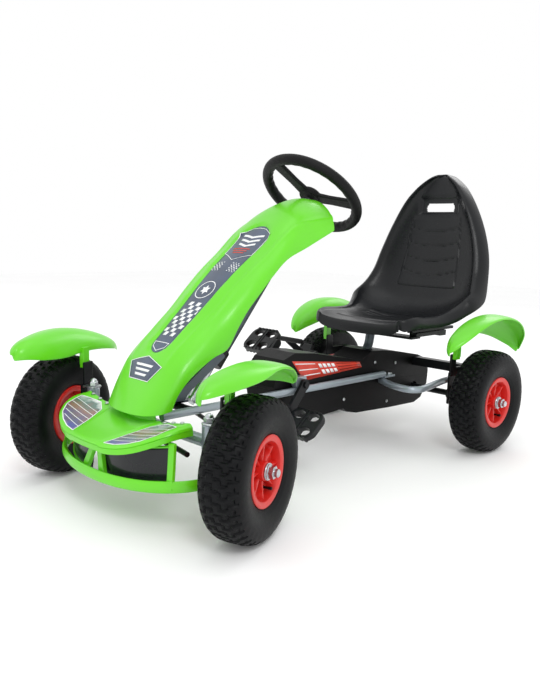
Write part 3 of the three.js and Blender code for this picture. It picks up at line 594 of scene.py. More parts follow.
def along_crown(u):
    """The length along the fairing's middle line, from its foot, at u."""
    place = min(max(u, 0), 1) * ARCH_STEPS
    i = min(int(place), ARCH_STEPS - 1)
    return CROWN_LENGTHS[i] + (CROWN_LENGTHS[i + 1] - CROWN_LENGTHS[i]) * (place - i)


def crown_at(length):
    """The u at a length along the fairing's middle line."""
    i = next((k for k in range(ARCH_STEPS) if CROWN_LENGTHS[k + 1] >= length), ARCH_STEPS - 1)
    span = CROWN_LENGTHS[i + 1] - CROWN_LENGTHS[i]
    return (i + (length - CROWN_LENGTHS[i]) / span) / ARCH_STEPS


def fairing_skin(u, w):
    """The plain arch, from its middle line at w 0 to its edges at w -1 and 1."""
    a = pi / 2 * w
    rounder = min(max((u - 0.74) / 0.26, 0), 1)
    across = copysign(abs(sin(a)) ** (0.85 + 0.2 * rounder), w)
    drop = 1 - max(cos(a), 0) ** (0.75 + 0.55 * rounder)
    crown_y, crown_z = through(CROWN_Y, u), through(CROWN_Z, u)
    return Vector((through(HALF_WIDTH, u) * across, crown_y + (through(EDGE_Y, u) - crown_y) * drop,
                   crown_z + (through(EDGE_Z, u) - crown_z) * drop))


def outward(surface, u, w, step=0.004):
    along = surface(min(u + step, 1), w) - surface(max(u - step, 0), w)
    across = surface(u, min(w + step, 1)) - surface(u, max(w - step, -1))
    return across.cross(along).normalized()


def channel_half(length):
    """Half the sunk panel's width, which grows along it."""
    t = (length - CHANNEL[0]) / (CHANNEL[1] - CHANNEL[0])
    return CHANNEL_HALF[0] + (CHANNEL_HALF[1] - CHANNEL_HALF[0]) * min(max(t, 0), 1)


def in_channel(length, x):
    """How far inside the long sunk panel a point lies, in millimetres."""
    half = channel_half(length)
    middle_of = min(max(length, CHANNEL[0] + half), CHANNEL[1] - half)
    return half - hypot(length - middle_of, x)


def fairing_surface(u, w):
    """The arch with its sunk panel and the crease along each side."""
    point = fairing_skin(u, w)
    length = along_crown(u)
    normal = outward(fairing_skin, u, w)
    if normal.z < 0 and u > 0.15:
        normal = -normal
    sunk = CHANNEL_DEPTH * soft_step(in_channel(length, point.x), 6)
    crease = 2.2 * bell(abs(w) - 0.30 - 0.36 * u, 0.05) * soft_step(length - 120, 80)
    return point + normal * (crease - sunk)


def on_fairing(x, length, lift):
    u = crown_at(length)
    a = asin(min((abs(x) / through(HALF_WIDTH, u)) ** (1 / 0.85), 1))
    w = copysign(a / (pi / 2), x)
    normal = outward(fairing_skin, u, w)
    if normal.z < 0:
        normal = -normal
    return fairing_surface(u, w) + normal * (lift + HALF_SKIN)


def clear_of_column(point):
    """Leaves a hole in the fairing where the steering column passes."""
    rel = Vector(point) - SHAFT_TOP
    down = -rel.dot(SHAFT_AXIS)
    return (rel + SHAFT_AXIS * down).length > 19.5 or down > 120


def channel_outline(edge=3.5, steps=40):
    """The sunk panel's outline, a little inside it: straight tapering sides and round ends."""
    low, high = CHANNEL[0] + edge, CHANNEL[1] - edge
    left = []
    for k in range(steps + 1):
        length = low + (high - low) * (0.5 - 0.5 * cos(pi * k / steps))
        half = channel_half(length) - edge
        centre = min(max(length, low + half), high - half)
        left.append((-sqrt(max(half**2 - (length - centre) ** 2, 0)), length))
    return left + [(-x, length) for x, length in left[-2:0:-1]]


def fairing():
    piece("fairing_shell", grid(fairing_surface, 150, 90, clear_of_column), GREEN, ["fairing"],
          thickness=3.2, bevel=0.8, sharp=0)
    marks = []

    def stick(outline, finish, lift=0.5, cell=7.0):
        marks.append((finish, laid(outline, on_fairing, lift, cell)))

    stick(channel_outline(), SLATE)
    shield = [(0, 398), (42, 424), (45, 492), (20, 503), (0, 505), (-20, 503), (-45, 492), (-42, 424)]
    stick(shield, SLATE, 0.8)
    outline_strip(stick, shield, 1.3, 1.2)
    for k, length in enumerate((480, 466, 452)):
        reach = 31 - 3 * k
        stick([(-reach, length), (0, length - 9), (reach, length), (reach, length + 6), (0, length - 3),
               (-reach, length + 6)], WHITE, 1.2)
    for k in range(3):
        low = 436 - 7 * k
        stick(rectangle(-28 + 4 * k, low, 22 - 4 * k, low + 3), ORANGE, 1.2)

    checks = [(i, j) for i in range(7) for j in range(7) if (i + j) % 2 == 0]
    for start in (14, -40):
        for i, j in checks:
            half = (3.4 - 0.28 * abs(j - 3)) / 2
            x, length = start + 4.2 * i, 365 + 4.2 * j
            if abs(x) < channel_half(length) - 6:
                stick(rectangle(x - half, length - half, x + half, length + half), WHITE, 0.9, 30)
    ring_at = 305
    ring(stick, ring_at, 23, 25, 1.1)
    star = [(r * sin(pi * k / 6), ring_at + r * cos(pi * k / 6)) for k, r in enumerate((13, 7) * 6)]
    stick(star, WHITE, 0.9)

    slant = 0.3
    for k, m in [(k, m) for k in range(9) for m in range(5) if (k + m) % 2 == 0]:
        x0, low = -28 + 11.2 * m, 176 + 10.5 * k
        cell = []
        for dx, dl in rectangle(0, 0, 10.4, 9.8):
            limit = channel_half(low + dl) - 6
            x = x0 + dx + slant * (dl + 10.5 * k) - 12
            cell.append((min(max(x, -limit), limit), low + dl))
        if cell[1][0] - cell[0][0] > 2:
            stick(cell, WHITE, 0.9, 12)
    outline_strip(stick, [(-22, 158), (22, 158), (18, 146), (0, 136), (-18, 146)], 1.5, 0.9)
    pentagon = [(-30, 69), (30, 69), (49, 104), (0, 119), (-49, 104)]
    stick(pentagon, SLATE, 0.4)
    outline_strip(stick, pentagon, 1.4, 0.8)
    for k, length in enumerate((102, 92, 82)):
        reach = 27 - 4 * k
        stick([(-reach, length), (reach, length), (reach - 3, length - 5), (-reach + 3, length - 5)], WHITE,
              0.9)
    stickers("fairing_marks", marks, "smoke")


def outline_strip(stick, outline, width, lift):
    """Thin white lines along an outline's sides."""
    corners = [Vector(p) for p in outline]
    for a, b in zip(corners, corners[1:] + corners[:1]):
        stick(thick_line(a, b, width / 2, width / 2), WHITE, lift, 7)


def ring(stick, length, inner, outer, lift, parts=24):
    """A white ring on the fairing's middle line."""
    rims = [[(r * x, length + r * y) for x, y in circle(parts)] for r in (inner, outer)]
    for k in range(parts):
        n = (k + 1) % parts
        stick([rims[0][k], rims[0][n], rims[1][n], rims[1][k]], WHITE, lift, 30)


# ---- Nose ----
NOSE = dict(half=176, depth=113, back=-459, power=2.6, back_half=168)
BAND = dict(half=205, depth=110, back=-450, power=2.1)


def front_line(shape, t):
    """A rounded front edge in plan, t running from the left end to the right."""
    angle = pi * min(max(t, 0), 1)
    c = cos(angle)
    x = shape["half"] * copysign(abs(c) ** (2 / shape["power"]), c)
    return x, shape["back"] - shape["depth"] * max(sin(angle), 0) ** (2 / shape["power"])


def nose_height(x, u, front_x):
    """The top falls towards the middle and the front, with a raised band along the middle."""
    front = 150 + 40 * abs(front_x / NOSE["half"]) ** 3
    back = 169 + 26 * min(abs(x / NOSE["back_half"]), 1.05) ** 1.5
    z = back * (1 - u) + front * u
    band = soft_step(80 - 32 * u - abs(x), 7)
    return z + 3.0 * band * (1 - 0.3 * u)


def nose_surface(u, w):
    """The nose's top, u from its back edge to its front and w across."""
    t = (1 - w) / 2
    front_x, front_y = front_line(NOSE, t)
    x = NOSE["back_half"] * w * (1 - u) + front_x * u
    y = (NOSE["back"] + 2) * (1 - u) + front_y * u
    round_off = 4 * max(0, (u - 0.93) / 0.07) ** 2
    return Vector((x, y, nose_height(x, u, front_x) - round_off))


def bisected(low, high, below, steps=26):
    """The value between low and high at which below(value) stops being true."""
    for _ in range(steps):
        value = (low + high) / 2
        if below(value):
            low = value
        else:
            high = value
    return (low + high) / 2


def nose_across(u, x):
    """The w at which the row u of the nose passes through x."""
    return bisected(-1.0, 1.0, lambda w: nose_surface(u, w).x < x)


def on_nose(x, y, lift):
    """The nose's top above a plan position."""
    u = bisected(0.0, 1.0, lambda row: nose_surface(row, nose_across(row, x)).y > y)
    return nose_surface(u, nose_across(u, x)) + Vector((0, 0, lift + HALF_SKIN + 0.1))


def nose():
    piece("nose_skin", grid(nose_surface, 36, 90), GREEN, ["nose_panel"], thickness=3.4, bevel=0.9, sharp=0)
    piece("nose_flange", block((-62, -458, 160), (62, -454.6, 188)), GREEN, bevel=1)

    def lip(u, w):
        p = nose_surface(1, w)
        return Vector((p.x * (1 - 0.004 * u), p.y + 0.8 + 1.5 * u, p.z - 11 * u))

    piece("nose_lip", grid(lip, 5, 90), GREEN, thickness=3.4, bevel=0.9, sharp=0)


def nose_details():
    """The screws along the nose's back edge, and two printed headlights with white borders and slats."""
    lamp = [Vector(p) for p in ((54, -563), (82, -560), (110, -552), (134, -540), (152, -520), (160, -482),
                                (112, -466), (84, -482), (68, -520))]
    slat_starts, slat_ends = (lamp[7], lamp[8], lamp[0]), (lamp[5], lamp[4], lamp[2])
    slat_half = Vector((0, 0.6))
    screw = turned([(0, 4.2), (1.6, 4.2), (2.8, 2.6), (3.0, 1.2)], 20)
    marks = []

    def mark(outline, finish, lift, sign):
        marks.append((finish, laid([(p[0] * sign, p[1]) for p in outline][::sign], on_nose, lift, 9)))

    for side, sign in SIDES:
        mark(lamp, LAMP, 0.4, sign)
        for a, b in zip(lamp, lamp[1:] + lamp[:1]):
            mark(thick_line(a, b, 0.9), WHITE, 0.6, sign)
        for k in range(1, 6):
            i, part = k // 3, k / 3 - k // 3
            a, b = (ends[i].lerp(ends[i + 1], part) for ends in (slat_starts, slat_ends))
            mark([a - slat_half, b - slat_half, b + slat_half, a + slat_half], WHITE, 0.7, sign)
        for k in range(3):
            top = on_nose(sign * (98 + 26 * k), -461, 0.5)
            piece(f"nose_screw_{side}_{k}", upright(screw, top), ZINC)
    stickers("nose_marks", marks, "smoke")


def bumper():
    """The band with its legs and posts, the smoked grilles with their rims, and the stay behind."""

    def band(u, w):
        x, y = front_line(BAND, 0.02 + 0.96 * u)
        bulge = 3.0 * (1 - w * w)
        out = Vector((x / BAND["half"], -1.2 * sin(pi * u), 0)).normalized()
        return Vector((x, y, 86 + 9 * abs(x / BAND["half"]) ** 2 + 9.5 * w)) + out * (bulge - 1.5)

    piece("bumper_band", grid(band, 90, 8), GREEN, ["bumper"], thickness=8.5, bevel=1.8, sharp=0)
    leg_section = ((1, -546, 140), (15, -546, 140), (38, -554, 88), (20, -554, 88))
    post_section = ((-7, -5, 0), (7, -3, 0), (7, 4, 0), (-7, 4, 0))
    grille_corners = ((24, -540, 80), (163, -497, 95), (163, -496, 160), (12, -540, 138))
    for side, sign in SIDES:
        leg = [(sign * x, y + back, z) for back in (0, 9) for x, y, z in leg_section]
        piece(f"bumper_leg_{side}", skinned(leg, 4), GREEN, bevel=1.5)
        spine = smooth_path([(sign * 178, -508, 88), (sign * 175, -503, 120), (sign * 170, -497, 168)], 10)
        post = [p + Vector(d) for p in spine for d in post_section]
        piece(f"bumper_post_{side}", skinned(post, 4), GREEN, bevel=1.5)
        low_in, low_out, high_out, high_in = [Vector((sign * x, y, z)) for x, y, z in grille_corners]

        def face(u, w, low=(low_in, low_out), high=(high_in, high_out)):
            t = (w + 1) / 2
            belly = Vector((0, -14 * sin(pi * t), 0))
            return low[0].lerp(low[1], t).lerp(high[0].lerp(high[1], t), u) + belly

        piece(f"grille_panel_{side}", grid(face, 10, 24), SMOKE, [f"grille_{side}"], thickness=2.4, sharp=0)
        for k in (0, 1):
            rim = [face(k, w / 12 - 1) + Vector((0, -1, 0)) for w in range(25)]
            piece(f"grille_rim_{side}_{k}", tube(rim, 2.6, 12), GREEN)
    stay = [(0, -458, 146), (80, -460, 147), (140, -468, 147), (183, -475, 146)]
    path = smooth_path([(-x, y, z) for x, y, z in stay[:0:-1]] + stay, 60)
    piece("bumper_stay_bar", tube(path, 5, 18), DARK, ["bumper_stay"])


# ---- Seat ----
SEAT_Y = [220, 258, 310, 360, 410, 462, 508, 538, 556, 568, 577, 583]
SEAT_Z = [315, 318, 315, 313, 315, 329, 365, 425, 495, 570, 645, 714]
SEAT_HALF = [154, 166, 170, 178, 194, 212, 212, 196, 180, 150, 104, 36]
SEAT_RISE = [12, 16, 18, 22, 34, 50, 46, 36, 32, 30, 28, 10]


def seat_centre(u):
    return through(SEAT_Y, u), through(SEAT_Z, u)


def seat_skin(u, w):
    """The plain surface, u up the middle line and w across it, and the direction in towards the sitter."""
    y0, z0 = seat_centre(u - 0.01)
    y1, z1 = seat_centre(u + 0.01)
    along = Vector((0, y1 - y0, z1 - z0)).normalized()
    inward = Vector((0, -along.z, along.y))
    half = through(SEAT_HALF, u) * (1 - 0.06 * abs(w) ** 3)
    half *= easing(1.0 - u, 0.06) * (0.9 + 0.1 * easing(u, 0.05))
    return Vector((half * w, *seat_centre(u))) + inward * through(SEAT_RISE, u) * abs(w) ** 3, inward


RUNNER_X = 128
RIDGE = 0.84
SKIRT_SPREAD = 0.88


def seat_surface(u, w):
    """The moulding: a padded face inside the ridge, and outside it a skirt that turns back to the rim."""
    front = max(0.0, 1 - u / 0.05)
    up = max(u - 0.04, 0) / 0.96
    face = min(abs(w) / RIDGE, 1)
    point, inward = seat_skin(up, copysign(face, w))
    point.x *= SKIRT_SPREAD if up > 0.3 else SKIRT_SPREAD + 0.08 * (1 - up / 0.3)
    x, z = point.x, point.z
    relief = 0.0
    if up > 0.6:
        panel_half = 92 - 0.08 * (z - 400)
        inside = min(panel_half - abs(x), 592 - z, z - 385)
        relief += 3.0 * soft_step(inside, 6) + 1.8 * bell(inside, 2.4)
        if inside > 3:
            for base in (552, 510, 468, 428):
                relief -= 2.6 * bell(z - base - 0.0022 * x * x, 2.6)
        relief -= 7.0 * soft_step(min(62 - abs(x), 650 - z, z - 604), 12)
    if 0.1 < up < 0.4:
        relief += 2.0 * soft_step(min(108 - abs(x), (up - 0.1) * 700, (0.4 - up) * 700), 8)
    for k in range(3):
        at = 0.29 + 0.032 * k + 0.02 * (x / 150) ** 2
        relief -= 1.6 * bell(up - at, 0.006) * soft_step(110 - abs(x), 10)
    if face > 0.9:
        relief += 4 * ((face - 0.9) / 0.1) ** 2
    point = point + inward * relief
    turn = max(0.0, (abs(w) - RIDGE) / (1 - RIDGE))
    if turn > 0:
        half = abs(seat_skin(up, 1)[0].x)
        spread = (half - abs(x)) * sin(pi / 2 * turn)
        depth = (26 + 12 * min(max((up - 0.4) / 0.15, 0), 1)) * (1 - cos(pi / 2 * turn) * (1 - 0.2 * turn))
        depth *= 1 - front
        point = point - inward * depth + Vector((copysign(spread, w), 0, 0))
    top = max(0.0, (u - 0.97) / 0.03)
    point = point - inward * 22 * (1 - sqrt(max(1 - top * top, 0)))
    return point + Vector((0, -3 * front * (2 - front), -26 * front * front))


def slot_free(point):
    """Leaves the hand slot open near the seat's top."""
    dx = max(abs(point.x) - 32, 0)
    return point.z < 560 or hypot(dx, point.z - 621) > 12.5


def seat():
    piece("seat_moulding", grid(seat_surface, 170, 120, slot_free), SEAT, ["seat_shell"], body="seat",
          thickness=5, bevel=1.2, sharp=0)
    bolt = joined(turned([(-15, 3), (4, 3)], 16), hexagon(-6, 6.5, 5))
    knob = turned([(0, 9), (3, 9), (5, 7), (6, 3)], 24)
    for side, sign in SIDES:
        x = sign * RUNNER_X
        rail = block((x - 8, 268.2, 298), (x + 8, 462.2, 306))
        piece(f"seat_rail_bar_{side}", rail, DARK, [f"seat_rail_{side}"], body="seat", bevel=1.5)
        for k, y in enumerate((300, 420)):
            piece(f"seat_bolt_{side}_{k}", upright(bolt, (x, y, 297)), ZINC, body="seat")
        piece(f"seat_side_bolt_{side}", upright(knob, (sign * 163, 405, 337)), ZINC, body="seat")
    post = smooth_path([(0, 262, 174.8), (0, 252, 200), (0, 258, 230), (0, 272, 256), (0, 278, 286)], 24)
    piece("seat_post", tube(post, 12, 28), STEEL, ["seat_stand"], slot="dark_steel")
    bars = [block((-139, low, 283), (139, high, 289)) for low, high in ((262, 302), (394, 422))]
    bars += [block((s * RUNNER_X - 11, 284, 287), (s * RUNNER_X + 11, 422, 297.6)) for _, s in SIDES]
    piece("seat_cradle", joined(*bars), DARK, bevel=1.4)


# ---- Steering ----
HANDWHEEL_R = 126.5
GRIP_R = 12.3
RAKE = atan2(SHAFT_AXIS.z, SHAFT_AXIS.y)
HANDWHEEL_TURN = radians(45)
SHAFT_LENGTH = 556
PITMAN = 33


def on_shaft(down):
    return SHAFT_TOP - SHAFT_AXIS * down


def tilted(shape, origin=SHAFT_TOP):
    """A shape made about +Z, set along the steering shaft and turned with the handwheel."""
    lean = Matrix.Rotation(RAKE - pi / 2, 4, "X") @ Matrix.Rotation(HANDWHEEL_TURN, 4, "Z")
    return placed(shape, Matrix.Translation(origin) @ lean)


def steering():
    middle_r = HANDWHEEL_R - GRIP_R
    section = [(y, middle_r + x) for x, y in circle(20, GRIP_R, GRIP_R)]

    def finger_waves(angle, axial, radius):
        inner = max(0, (middle_r - radius) / GRIP_R)
        return axial, radius + 0.9 * inner * cos(angle * 30)

    rim = upright(ring_solid(section, 180, finger_waves))
    piece("handwheel_rim", tilted(rim), GRIP, ["steering_wheel"], body="handwheel", sharp=0)
    reach = middle_r - 3
    half = [(18, 15), (reach * 0.5, 12.5), (reach, 14.5)]
    spoke = prism([(x, -y) for x, y in half] + half[::-1], -10, -1, axis=2)
    spokes = [placed(spoke, Matrix.Rotation(radians(degrees), 4, "Z")) for degrees in (90, 210, 330)]
    piece("handwheel_spokes", tilted(joined(*spokes)), GRIP, body="handwheel", bevel=2.4)
    hub = upright(turned([(-12, 25), (-9, 27), (0, 27), (4, 24)], 48))
    piece("handwheel_hub", tilted(hub), GRIP, body="handwheel", bevel=1.2)
    cap = prism(rounded(rectangle(-21, -9, 21, 9), 8), 4, 10, axis=2)
    piece("handwheel_cap", tilted(cap), SLATE, ["hub_cap"], body="handwheel", slot="grip", bevel=1.6)

    column = rod(on_shaft(24), on_shaft(431), 17.5, 40)
    piece("column_tube", column, STEEL, ["steering_column"], slot="dark_steel", bevel=1)
    shaft = joined(rod(on_shaft(14), on_shaft(SHAFT_LENGTH + 3), 8, 28),
                   rod(on_shaft(SHAFT_LENGTH - 3), on_shaft(SHAFT_LENGTH + 4), 12, 28))
    piece("steering_rod", shaft, ZINC, ["steering_shaft"], body="handwheel", bevel=0.8)
    arm = prism(rounded(rectangle(-7, -8, 7, PITMAN + 7), 6.5), -2.5, 2.5, axis=2)
    piece("pitman_arm", tilted(arm, on_shaft(SHAFT_LENGTH)), ZINC, body="handwheel", bevel=0.8)

    cheek = rounded([(-383, 191.3), (-356, 191.3), (-346, 208), (-246, 275), (-262, 290), (-383, 205)], 8)
    cheeks = [prism(cheek, low, low + 5) for low in (16, -21)]
    foot = block((-21, -383, 191.3), (21, -345, 196.3))
    piece("column_foot", joined(foot, *cheeks), STEEL, ["column_foot_bracket"], slot="dark_steel", bevel=1)
    piece("column_bearing", rod(on_shaft(432), on_shaft(470), 21, 40), DARK, bevel=1.5)
    for k, x in enumerate((-12, 12)):
        piece(f"column_foot_bolt_{k}", upright(hexagon(2.5, 5, 5), (x, -374, 196.3)), ZINC)


# ---- Front corners and tie rods ----
KINGPIN_X, AXLE_Z = joint_place("kingpin_left").x, joint_place("front_wheel_left_spin").z
FRONT_Y = joint_place("kingpin_left").y
WHEEL_OFFSET = 85
EAR_LOW, EAR_HIGH = 146, 196


def corners():
    """The knuckles, stub axles and kingpins, made square to the kart and then steered to the rest pose."""
    low_arm = rounded([(-12, -9), (25, -12), (25, 12), (11, 18), (9, 84), (-9, 84), (-12, 18)], 7)
    high_arm = rounded([(-12, -11), (25, -12), (27, 26), (14, 26), (-12, 14)], 7)
    plates = joined(*[prism(arm, z, z + 4, axis=2)
                      for arm, z in ((low_arm, EAR_LOW), (high_arm, EAR_HIGH))])
    web = joined(block((20, -12, 116), (25, 12, EAR_HIGH + 4)), block((22, -2, EAR_HIGH), (27, 26, 248)))
    stub = joined(rod((20, 0, AXLE_Z), (WHEEL_OFFSET + 46, 0, AXLE_Z), 8),
                  rod((25, 0, AXLE_Z), (50, 0, AXLE_Z), 13))
    dome = turned([(0, 8.5), (3, 8), (6, 6), (8, 3), (8.6, 1)], 28)
    kingpin = joined(rod((0, 0, EAR_LOW - 6), (0, 0, EAR_HIGH + 12), 6),
                     upright(hexagon(0, 10, 7.6), (0, 0, EAR_LOW - 4.2)),
                     upright(hexagon(0, 10, 8.6), (0, 0, EAR_HIGH + 8.8)),
                     upright(dome, (0, 0, EAR_HIGH + 12)))
    screws = joined(*[moved(turned([(0, 4.5), (2.2, 4.2), (3, 2.5)], 6), (27, y, 240)) for y in (5, 19)])
    for side, sign in SIDES:
        at = Matrix.Translation((sign * KINGPIN_X, FRONT_Y, 0)) @ Matrix.Rotation(STEER_REST, 4, "Z")
        for name, shape, finish, replaces, look in (
            ("knuckle_plates", plates, ZINC, [f"knuckle_{side}"], dict(bevel=0.8)),
            ("knuckle_web", web, DARK, (), dict(bevel=0.8)),
            ("stub_axle", stub, ZINC, (), dict(bevel=0.8)),
            ("kingpin", kingpin, ZINC, [f"kingpin_bolt_{side}"], dict(sharp=30)),
            ("fender_screws", screws, ZINC, (), {}),
        ):
            piece(f"{name}_{side}", placed(handed(shape, sign), at), finish, replaces,
                  body=f"corner_{side}", **look)


def tie_rods():
    """Each rod runs from its ball joint on the knuckle to just short of the pitman arm's end."""
    end = on_shaft(SHAFT_LENGTH) - SHAFT_AXIS * 14
    boot_shape = turned([(-7, 7), (-3, 8), (3, 8), (7.5, 5.5)], 28)
    rod_end = [(0, 5.0), (6, 7.8), (20, 7.0), (21, 4.6), (30, 4.6)]
    for side, sign in SIDES:
        ball = joint_place(f"tie_rod_pivot_{side}")
        tip = end + Vector((-75 * sin(STEER_REST) + sign * 9, 18, -14.5))
        way, length = (tip - ball).normalized(), (tip - ball).length
        stations = rod_end + [(length - s, r) for s, r in rod_end[::-1]]
        bar = tube([ball + way * s for s, _ in stations], 0, 24, [r for _, r in stations])
        piece(f"track_rod_{side}", joined(bar, upright(boot_shape, ball)), DARK, [f"tie_rod_{side}"],
              body=f"link_{side}")


# ---- Frame ----
RAIL_X, RAIL_Z, RAIL_R = 57, 183, 8.5
PLATE_X = 167.5
REAR_Y = joint_place("rear_axle_spin").y
HOOP_Z = RAIL_Z - 2 * RAIL_R - 0.3
HOOP = [(42, 270), (87, 245), (130, 229), (166, 229), (180, 253), (175, 296), (164, 351), (156, 403),
        (155, 451)]


def chassis():
    """Rails, front beams with kingpin bosses, bearings, the rear hoop and the cross members."""
    for side, sign in SIDES:
        x = sign * RAIL_X
        tube_shape = rod((x, FRONT_Y - 4, RAIL_Z), (x, 268, RAIL_Z), RAIL_R, 32)
        tab = block((x - 10, 262, RAIL_Z - RAIL_R), (x + 10, 304, RAIL_Z - RAIL_R + 5))
        piece(f"rail_{side}", joined(tube_shape, tab), FRAME_PAINT, [f"frame_rail_{side}"], bevel=0.9)
        bolt = upright(hexagon(2.5, 6.5, 5), (x, 293, RAIL_Z - RAIL_R + 5))
        piece(f"rail_bolt_{side}", bolt, ZINC)
        boss = ring_solid([(-22.7, 6.4), (-22.7, 12), (-21.5, 13), (21.5, 13), (22.7, 12), (22.7, 6.4)], 48)
        boss = upright(boss, (sign * KINGPIN_X, FRONT_Y, 173))
        beam_z = RAIL_Z - RAIL_R - 11.5
        beam = rod((sign * 2, FRONT_Y, beam_z), (sign * (KINGPIN_X - 9), FRONT_Y, beam_z), 11.2, 32)
        piece(f"axle_beam_{side}", joined(boss, beam), FRAME_PAINT, [f"front_beam_{side}"], sharp=32)
        plate = prism(rounded(rectangle(REAR_Y - 24, 104, REAR_Y + 24, 189.6), 6), sign * PLATE_X - 2.5,
                      sign * PLATE_X + 2.5)
        piece(f"bearing_plate_{side}", plate, DARK, [f"axle_plate_{side}"], bevel=0.8)
        flange = turned([(-11, 15), (-2.5, 15), (-2.5, 24), (2.5, 24), (2.8, 22), (10, 20), (11, 15)], 40)
        piece(f"bearing_{side}", moved(handed(flange, sign), (sign * PLATE_X, REAR_Y, AXLE_Z)), DARK,
              [f"axle_bearing_{side}"])
        block_shape = prism(rounded(rectangle(-73, 191.8, -39, 216), 6), x - 8, x + 8)
        piece(f"crank_block_{side}", block_shape, FRAME_PAINT, [f"crank_bearing_{side}"], bevel=1)
    path = [(-x, y, HOOP_Z) for x, y in HOOP[::-1]] + [(0, 277, HOOP_Z)] + [(x, y, HOOP_Z) for x, y in HOOP]
    lug = block((-197, 250, HOOP_Z - 4), (-183, 266, 191))
    piece("hoop_tube", joined(tube(smooth_path(path, 120), RAIL_R, 24), lug), FRAME_PAINT, ["rear_hoop"],
          bevel=0.8)
    beam = [block((-216, REAR_Y - 13, 190), (216, REAR_Y + 13, 213))]
    for _, sign in SIDES:
        x = sign * 205
        post_y = REAR_Y + FENDERS["rear"]["post"]
        arm = rounded([(post_y - 12, 190), (REAR_Y - 4, 190), (REAR_Y - 4, 213), (post_y + 12, 213),
                       (post_y + 12, 248), (post_y - 12, 248)], 5)
        beam.append(prism(arm, x - 3, x + 3))
    piece("rear_crossbeam", joined(*beam), DARK, ["rear_beam"], bevel=1.6)
    inner = RAIL_X - RAIL_R - 0.3
    piece("cross_tube", rod((-inner, -364, RAIL_Z), (inner, -364, RAIL_Z), 8, 28), DARK,
          ["front_cross_tube"])


def brake():
    """A bent hand lever with its pivot, shoe and grip, on the right."""
    blade = rounded([(250, 174), (264, 172), (303, 194), (296, 206), (262, 198), (178, 256), (166, 244),
                     (244, 188)], 6)
    shoe = rounded([(301.5, 188.4), (317.3, 213.9), (307.1, 220.3), (291.3, 194.8)], 3)
    steel = joined(prism(blade, -205, -200), rod((-232, 298, 200), (-202.5, 298, 200), 5),
                   prism(shoe, -262, -228), rod((-202.5, 258, 182), (-181, 258, 182), 4))
    piece("brake_steel", steel, DARK, ["brake_lever"], body="brake", bevel=0.9)
    grip = turned([(-40, 5.5), (-38, 7), (36, 7), (40, 5.5)], 28)
    piece("brake_grip", moved(grip, (-186, 172, 250)), GRIP, body="brake")


# ---- Drive ----
CRANK = joint_place("crank_spin")
PEDAL = {side: joint_place(f"pedal_{side}_spin") for side, _ in SIDES}
CHAIN_X = 25
CHAINRING_R, SPROCKET_R = 52.7, 28.5


def toothed(radius, teeth, bore, width):
    """A chain wheel about X with round-bottomed teeth."""
    steps = teeth * 8
    profile = [(-width / 2, bore), (-width / 2, radius * 0.8), (-width / 2, radius), (width / 2, radius),
               (width / 2, radius * 0.8), (width / 2, bore)]

    def wave(angle, axial, r):
        if r < radius * 0.9:
            return axial, r
        return axial * 0.7, radius + 1.0 + 2.4 * cos(angle * teeth)

    return ring_solid(profile, steps, wave)


def chain_path():
    """Points round the two chain wheels, as (y, z)."""
    centre_a, centre_b = Vector((CRANK.y, CRANK.z)), Vector((REAR_Y, AXLE_Z))
    ra, rb = CHAINRING_R + 3.4, SPROCKET_R + 3.4
    way = centre_b - centre_a
    heading = atan2(way.y, way.x)
    wrap = acos((ra - rb) / way.length)
    points = []
    for centre, radius, start, stop, count in (
        (centre_b, rb, heading - wrap, heading + wrap, 18),
        (centre_a, ra, heading + wrap, heading - wrap + 2 * pi, 30),
    ):
        for k in range(count + 1):
            a = start + (stop - start) * k / count
            points.append(centre + Vector((cos(a), sin(a))) * radius)
    return points


def chain():
    """Plain links, narrow and wide by turns, with a pin at each joint."""
    link_r, plate, pin_r, pitch = 2.6, 0.9, 1.9, 12.7
    narrow, wide = 2.0, 2.9
    loop = chain_path()
    loop.append(loop[0])
    lengths = [0.0]
    for a, b in zip(loop, loop[1:]):
        lengths.append(lengths[-1] + (b - a).length)
    links = round(lengths[-1] / pitch / 2) * 2
    pitch = lengths[-1] / links

    def spot(distance):
        distance %= lengths[-1]
        i = max(k for k in range(len(loop) - 1) if lengths[k] <= distance)
        return loop[i].lerp(loop[i + 1], (distance - lengths[i]) / (lengths[i + 1] - lengths[i]))

    shapes = []
    for k in range(links):
        a, b = spot(k * pitch), spot((k + 1) * pitch)
        turn = atan2(b.y - a.y, b.x - a.x)
        half = narrow if k % 2 else wide
        outline = []
        for end, start in ((a, 90), (b, -90)):
            for m in range(5):
                angle = turn + radians(start + 45 * m)
                outline.append((end.x + link_r * cos(angle), end.y + link_r * sin(angle)))
        for low in (CHAIN_X - half, CHAIN_X + half - plate):
            shapes.append(prism(outline, low, low + plate))
        shapes.append(rod((CHAIN_X - wide, a.x, a.y), (CHAIN_X + wide, a.x, a.y), pin_r, 10))
    piece("chain_links", joined(*shapes), DARK, ["chain"], sharp=30)


